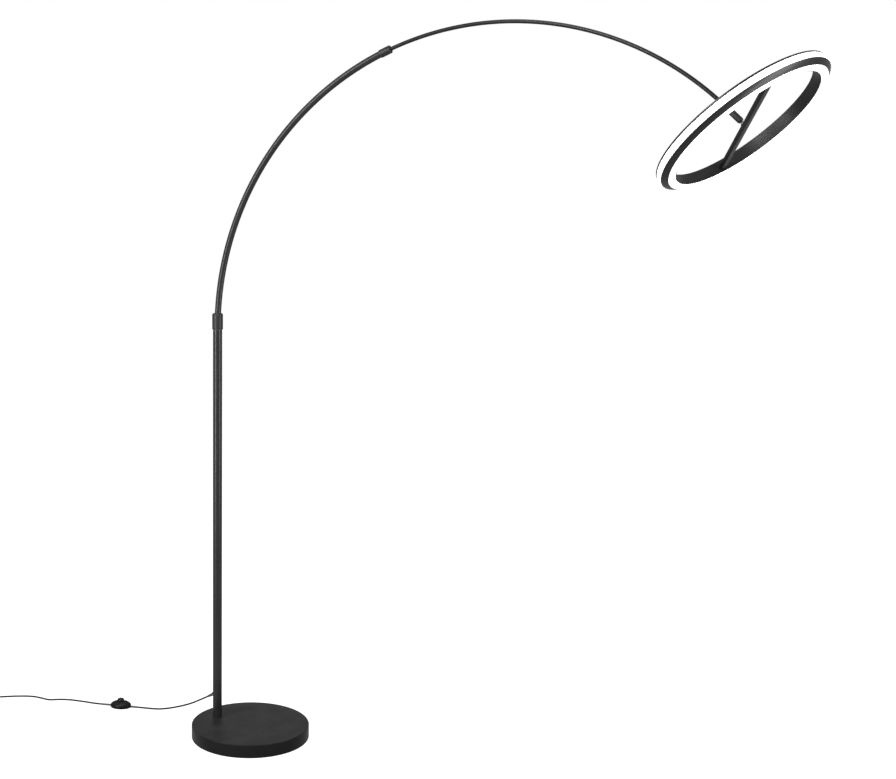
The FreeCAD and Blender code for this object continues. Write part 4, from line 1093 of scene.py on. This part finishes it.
finishFacts = {
    # The base, rod, crossbar and ring take the one black coat in darker colours, which is painted shade;
    # the pole, arm and collar keep its plain colour.
    "black_coat": {**blackCoat, "colour": (0.005, 0.005, 0.0054), "specular": 0.02, "slantGloss": 1.9,
                   "roughness": 0.5, "dustAndLitTop": 0.03},
    "black_coat_pole": {**blackCoat, "mottle": 8.0},
    "black_coat_arm": {**blackCoat, "mottle": 10.0},
    "black_coat_rod": {**blackCoat, "colour": (0.0045, 0.0045, 0.0048), "specular": 0.09,
                       "mottle": 12.0},
    "black_coat_collar": {**blackCoat, "roughness": 0.4},
    "black_coat_bar": {**blackCoat, "colour": (0.004, 0.004, 0.0043), "specular": 0.06,
                       "slantGloss": 0.8, "roughness": 0.42, "mottle": 20.0},
    "black_coat_ring": {**blackCoat, "colour": (0.0045, 0.0045, 0.0048), "specular": 0.11,
                        "slantGloss": 0.3, "roughness": 0.4, "mottle": 12.0, "rubAndEdgeHighlight": 0.3},
    "felt": {"colour": (0.02, 0.02, 0.021), "roughness": 0.95, "specular": 0.1, "grain": 1500.0,
             "bump": 0.9, "streaks": 1.0, "stretch": 0.4, "sheen": 0.4, "rubAndEdgeHighlight": 0.0},
    "steel": {**bareMetal, "colour": (0.52, 0.53, 0.55), "roughness": 0.34, "streaks": 1.0,
              "rubbedAndHighlit": (0.7, 0.7, 0.7), "mottle": 60.0, "tint": 1.15},
    "plated": {**bareMetal, "colour": (0.42, 0.43, 0.45), "roughness": 0.42, "mottle": 90.0,
               "tint": 1.3, "rubbedAndHighlit": (0.6, 0.6, 0.6)},
    "iron": {"colour": (0.06, 0.058, 0.056), "metallic": 0.6, "roughness": 0.72, "specular": 0.4,
             "grain": 420.0, "depth": 0.0003, "bump": 0.8, "mottle": 30.0,
             "rubbedAndHighlit": (0.2, 0.19, 0.18)},
    "driver_case": {"colour": (0.7, 0.7, 0.68), "roughness": 0.55, "specular": 0.4, "tint": 1.05,
                    "rubbedAndHighlit": (0.75, 0.75, 0.73), "dustAndLitTopColour": (0.5, 0.48, 0.45)},
    "black_rubber": {"colour": (0.012, 0.012, 0.012), "roughness": 0.62, "specular": 0.35,
                     "grain": 700.0},
    "bush_plastic": {"colour": (0.016, 0.016, 0.017), "roughness": 0.4, "specular": 0.45,
                     "streaks": 0.5},
    "wire_sheath": {"colour": (0.02, 0.02, 0.02), "roughness": 0.45, "specular": 0.4, "streaks": 0.4},
    "switch_plastic": {**blackPlastic, "slantGloss": 0.2, "grain": 1300.0},
    "button_plastic": {**blackPlastic, "roughness": 0.2, "roughSpread": 0.05, "specular": 0.08,
                       "grain": 300.0, "bump": 0.08},
    "plug_plastic": {**blackPlastic, "colour": (0.005, 0.005, 0.005), "roughness": 0.42,
                     "specular": 0.15, "grain": 1100.0},
    "cord_sheath": {**blackPlastic, "colour": (0.003, 0.003, 0.0032), "roughness": 0.5,
                    "specular": 0.06, "slantGloss": 0.2, "grain": 500.0, "streaks": 0.3, "rubAndEdgeHighlight": 0.0},
    "spring_steel": {**bareMetal, "colour": (0.3, 0.3, 0.31), "roughness": 0.3, "streaks": 0.6,
                     "rubbedAndHighlit": (0.5, 0.5, 0.5)},
    "brass": {**bareMetal, "colour": (0.62, 0.43, 0.16), "roughness": 0.28, "streaks": 0.7,
              "rubbedAndHighlit": (0.8, 0.62, 0.3), "mottle": 120.0},
    "blackened_steel": {**bareMetal, "colour": (0.05, 0.05, 0.052), "roughness": 0.22,
                        "streaks": 0.3, "rubbedAndHighlit": (0.25, 0.25, 0.25)},
    "aluminium": {**bareMetal, "colour": (0.68, 0.69, 0.7), "roughness": 0.36, "streaks": 1.0,
                  "rubbedAndHighlit": (0.8, 0.8, 0.8), "tint": 1.1},
}


def makeFinish(name, changes):
    v = {**plainFinish, **changes}
    material, tree, shader = newMaterial(name)
    spot = add(tree, "TexCoord").outputs["Object"]
    grain = add(tree, "Group", node_tree=grainGroup)
    rubAndEdgeHighlight = add(tree, "Group", node_tree=rubAndEdgeHighlightGroup)
    dustAndLitTop = add(tree, "Group", node_tree=dustAndLitTopGroup)
    streaks = add(tree, "Group", node_tree=streakGroup)
    feed(tree, grain, {"Vector": spot, "Scale": v["grain"], "Mottle Scale": v["mottle"]})
    feed(tree, rubAndEdgeHighlight, {"Vector": spot, "Radius": v["rubAndEdgeHighlightRadius"], "Amount": v["rubAndEdgeHighlight"]})
    feed(tree, dustAndLitTop, {"Vector": spot, "Amount": v["dustAndLitTop"]})
    feed(tree, streaks, {"Vector": spot, "Stretch": v["stretch"]})
    tone = add(tree, "MapRange", {"Value": grain.outputs["Tone"], "From Min": 0.3,
                                  "From Max": 0.7}).outputs[0]
    lighter = tuple(min(channel * v["tint"], 1.0) for channel in v["colour"])
    base = blendColours(tree, tone, (*v["colour"], 1), (*lighter, 1))
    # Edges turn lighter here: partly rubbed wear, partly a painted highlight along the edges.
    wornAndHighlit = blendColours(tree, rubAndEdgeHighlight.outputs["Mask"], base, (*v["rubbedAndHighlit"], 1))
    # Faces that look up turn lighter here: partly dust, partly a painted lighter top where light falls.
    dustyAndLitTop = blendColours(tree, dustAndLitTop.outputs["Mask"], wornAndHighlit, (*v["dustAndLitTopColour"], 1))
    spread = maths(tree, "MULTIPLY", maths(tree, "SUBTRACT", tone, 0.5), v["roughSpread"])
    dulled = maths(tree, "MULTIPLY", dustAndLitTop.outputs["Mask"], v["dustDulls"])
    rough = maths(tree, "ADD", maths(tree, "ADD", spread, dulled), v["roughness"], clamp=True)
    lined = maths(tree, "MULTIPLY", streaks.outputs["Height"], v["streaks"])
    height = maths(tree, "ADD", grain.outputs["Height"], lined)
    bump = add(tree, "Bump", {"Height": height, "Strength": v["bump"], "Distance": v["depth"]})
    feed(tree, shader, {
        "Base Color": dustyAndLitTop,
        "Roughness": rough,
        "Normal": bump.outputs["Normal"],
        "Metallic": v["metallic"],
        "Sheen Weight": v["sheen"],
        "Specular IOR Level": v["specular"],
    })
    if v["slantGloss"] != 1.0:
        slant = add(tree, "LayerWeight", {"Blend": 0.5}).outputs["Facing"]
        first, last = v["slants"]
        gloss = add(tree, "MapRange", {"Value": slant, "From Min": first, "From Max": last,
                                       "To Min": v["specular"],
                                       "To Max": v["specular"] * v["slantGloss"]},
                    interpolation_type="SMOOTHSTEP")
        feed(tree, shader, {"Specular IOR Level": gloss.outputs[0]})
    return material


opalFacts = {
    "colour": (0.2, 0.2, 0.196),
    "glow": (1.0, 0.99, 0.965),
    "dimmer": (0.97, 0.96, 0.935),
    "strength": 0.9,
    "roughness": 0.35,
    "mottle": 40.0,
    "grain": 1200.0,
    "bump": 0.15,
    "depth": 0.00003,
}
boardFacts = {
    "board": (0.8, 0.8, 0.78),
    "chip": (0.85, 0.62, 0.12),
    "spacing": 140.0,
    "size": 0.2,
    "roughness": 0.4,
}


def makeOpal():
    # Milky plastic with the light behind it, a touch dimmer in slow patches, where its own
    # colour goes towards that of the dimmer glow.
    v = opalFacts
    material, tree, shader = newMaterial("opal")
    spot = add(tree, "TexCoord").outputs["Object"]
    grain = add(tree, "Group", node_tree=grainGroup)
    feed(tree, grain, {"Vector": spot, "Scale": v["grain"], "Mottle Scale": v["mottle"]})
    glow = blendColours(tree, grain.outputs["Tone"], (*v["glow"], 1), (*v["dimmer"], 1))
    body = blendColours(tree, grain.outputs["Tone"], (*v["colour"], 1), (*v["dimmer"], 1))
    bump = add(tree, "Bump", {"Height": grain.outputs["Height"], "Strength": v["bump"],
                              "Distance": v["depth"]})
    feed(tree, shader, {
        "Base Color": body,
        "Emission Color": glow,
        "Normal": bump.outputs["Normal"],
        "Emission Strength": v["strength"],
        "Roughness": v["roughness"],
    })
    return material


def makeBoard():
    # A white board with small yellow chips on it.
    v = boardFacts
    material, tree, shader = newMaterial("ledBoard")
    spot = add(tree, "TexCoord").outputs["Object"]
    chips = add(tree, "TexVoronoi", {"Vector": spot, "Scale": v["spacing"], "Randomness": 0.0},
                distance="CHEBYCHEV")
    mask = maths(tree, "LESS_THAN", chips.outputs["Distance"], v["size"])
    colour = blendColours(tree, mask, (*v["board"], 1), (*v["chip"], 1))
    feed(tree, shader, {"Base Color": colour, "Roughness": v["roughness"]})
    return material


finishes = {name: makeFinish(name, changes) for name, changes in finishFacts.items()}
finishes["opal"] = makeOpal()
finishes["led_board"] = makeBoard()
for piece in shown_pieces():
    slotName = piece.get("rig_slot") or slotOf.get(piece.name, "black_rubber")
    if not piece.material_slots:
        piece.data.materials.append(None)
    for place in piece.material_slots:
        place.material = finishes[slotName]
print("materials:", len(finishes))


# Floor, backdrop and lights
studioFacts = {
    "floorHalf": 6.0,
    "floorColour": (0.15, 0.15, 0.15),
    "floorRoughness": 0.9,
    "floorGlow": 0.97,
    "worldLight": 0.22,
    "lamps": {
        # name: (place, aims at, width, height, watts)
        "leftLamp": ((-0.86, -1.86, 1.4), (0.0, 0.0, 1.35), 0.45, 2.5, 120.0),
        "rightLamp": ((2.86, -0.1, 1.05), (0.0, 0.0, 1.05), 0.7, 1.9, 105.0),
        "headLamp": ((0.36, -2.34, 2.3), (1.15, 0.0, 1.55), 0.7, 0.7, 100.0),
        "topLamp": ((0.2, -1.2, 9.0), (0.2, 0.0, 0.0), 4.0, 4.0, 620.0),
    },
}


def rayIsSeen(tree):
    # 1 for the rays that show the background: from the camera, in gloss and through glass.
    rays = add(tree, "LightPath")
    seen = maths(tree, "MAXIMUM", rays.outputs["Is Camera Ray"], rays.outputs["Is Glossy Ray"])
    return maths(tree, "MAXIMUM", seen, rays.outputs["Is Transmission Ray"])


def makeFloor():
    v = studioFacts
    half = v["floorHalf"]
    mesh = bpy.data.meshes.new("floor")
    corners = [(-half, -half, 0), (half, -half, 0), (half, half, 0), (-half, half, 0)]
    mesh.from_pydata(corners, [], [(0, 1, 2, 3)])
    floor = newObject("floor", mesh)
    material, tree, shader = newMaterial("paleFloor")
    feed(tree, shader, {
        "Base Color": (*v["floorColour"], 1),
        "Roughness": v["floorRoughness"],
        "Specular IOR Level": 0.0,
        "Emission Color": (1, 1, 1, 1),
        "Emission Strength": maths(tree, "MULTIPLY", rayIsSeen(tree), v["floorGlow"]),
    })
    mesh.materials.append(material)


def makeWorld():
    v = studioFacts
    world = bpy.data.worlds.new("studio")
    world.use_nodes = True
    tree = world.node_tree
    seen = maths(tree, "MULTIPLY", rayIsSeen(tree), 1 - v["worldLight"])
    strength = maths(tree, "ADD", seen, v["worldLight"])
    feed(tree, tree.nodes["Background"], {"Color": (1, 1, 1, 1), "Strength": strength})
    scene.world = world


def makeLamps():
    for name, (place, aim, width, height, watts) in studioFacts["lamps"].items():
        lamp = bpy.data.lights.new(name, "AREA")
        lamp.shape = "RECTANGLE"
        lamp.size, lamp.size_y = width, height
        lamp.energy = watts
        holder = newObject(name, lamp)
        holder.location = place
        holder.rotation_euler = (Vector(aim) - Vector(place)).to_track_quat("-Z", "Y").to_euler()


makeFloor()
makeWorld()
makeLamps()
scene.view_settings.view_transform = "Standard"
print("stage and lights")
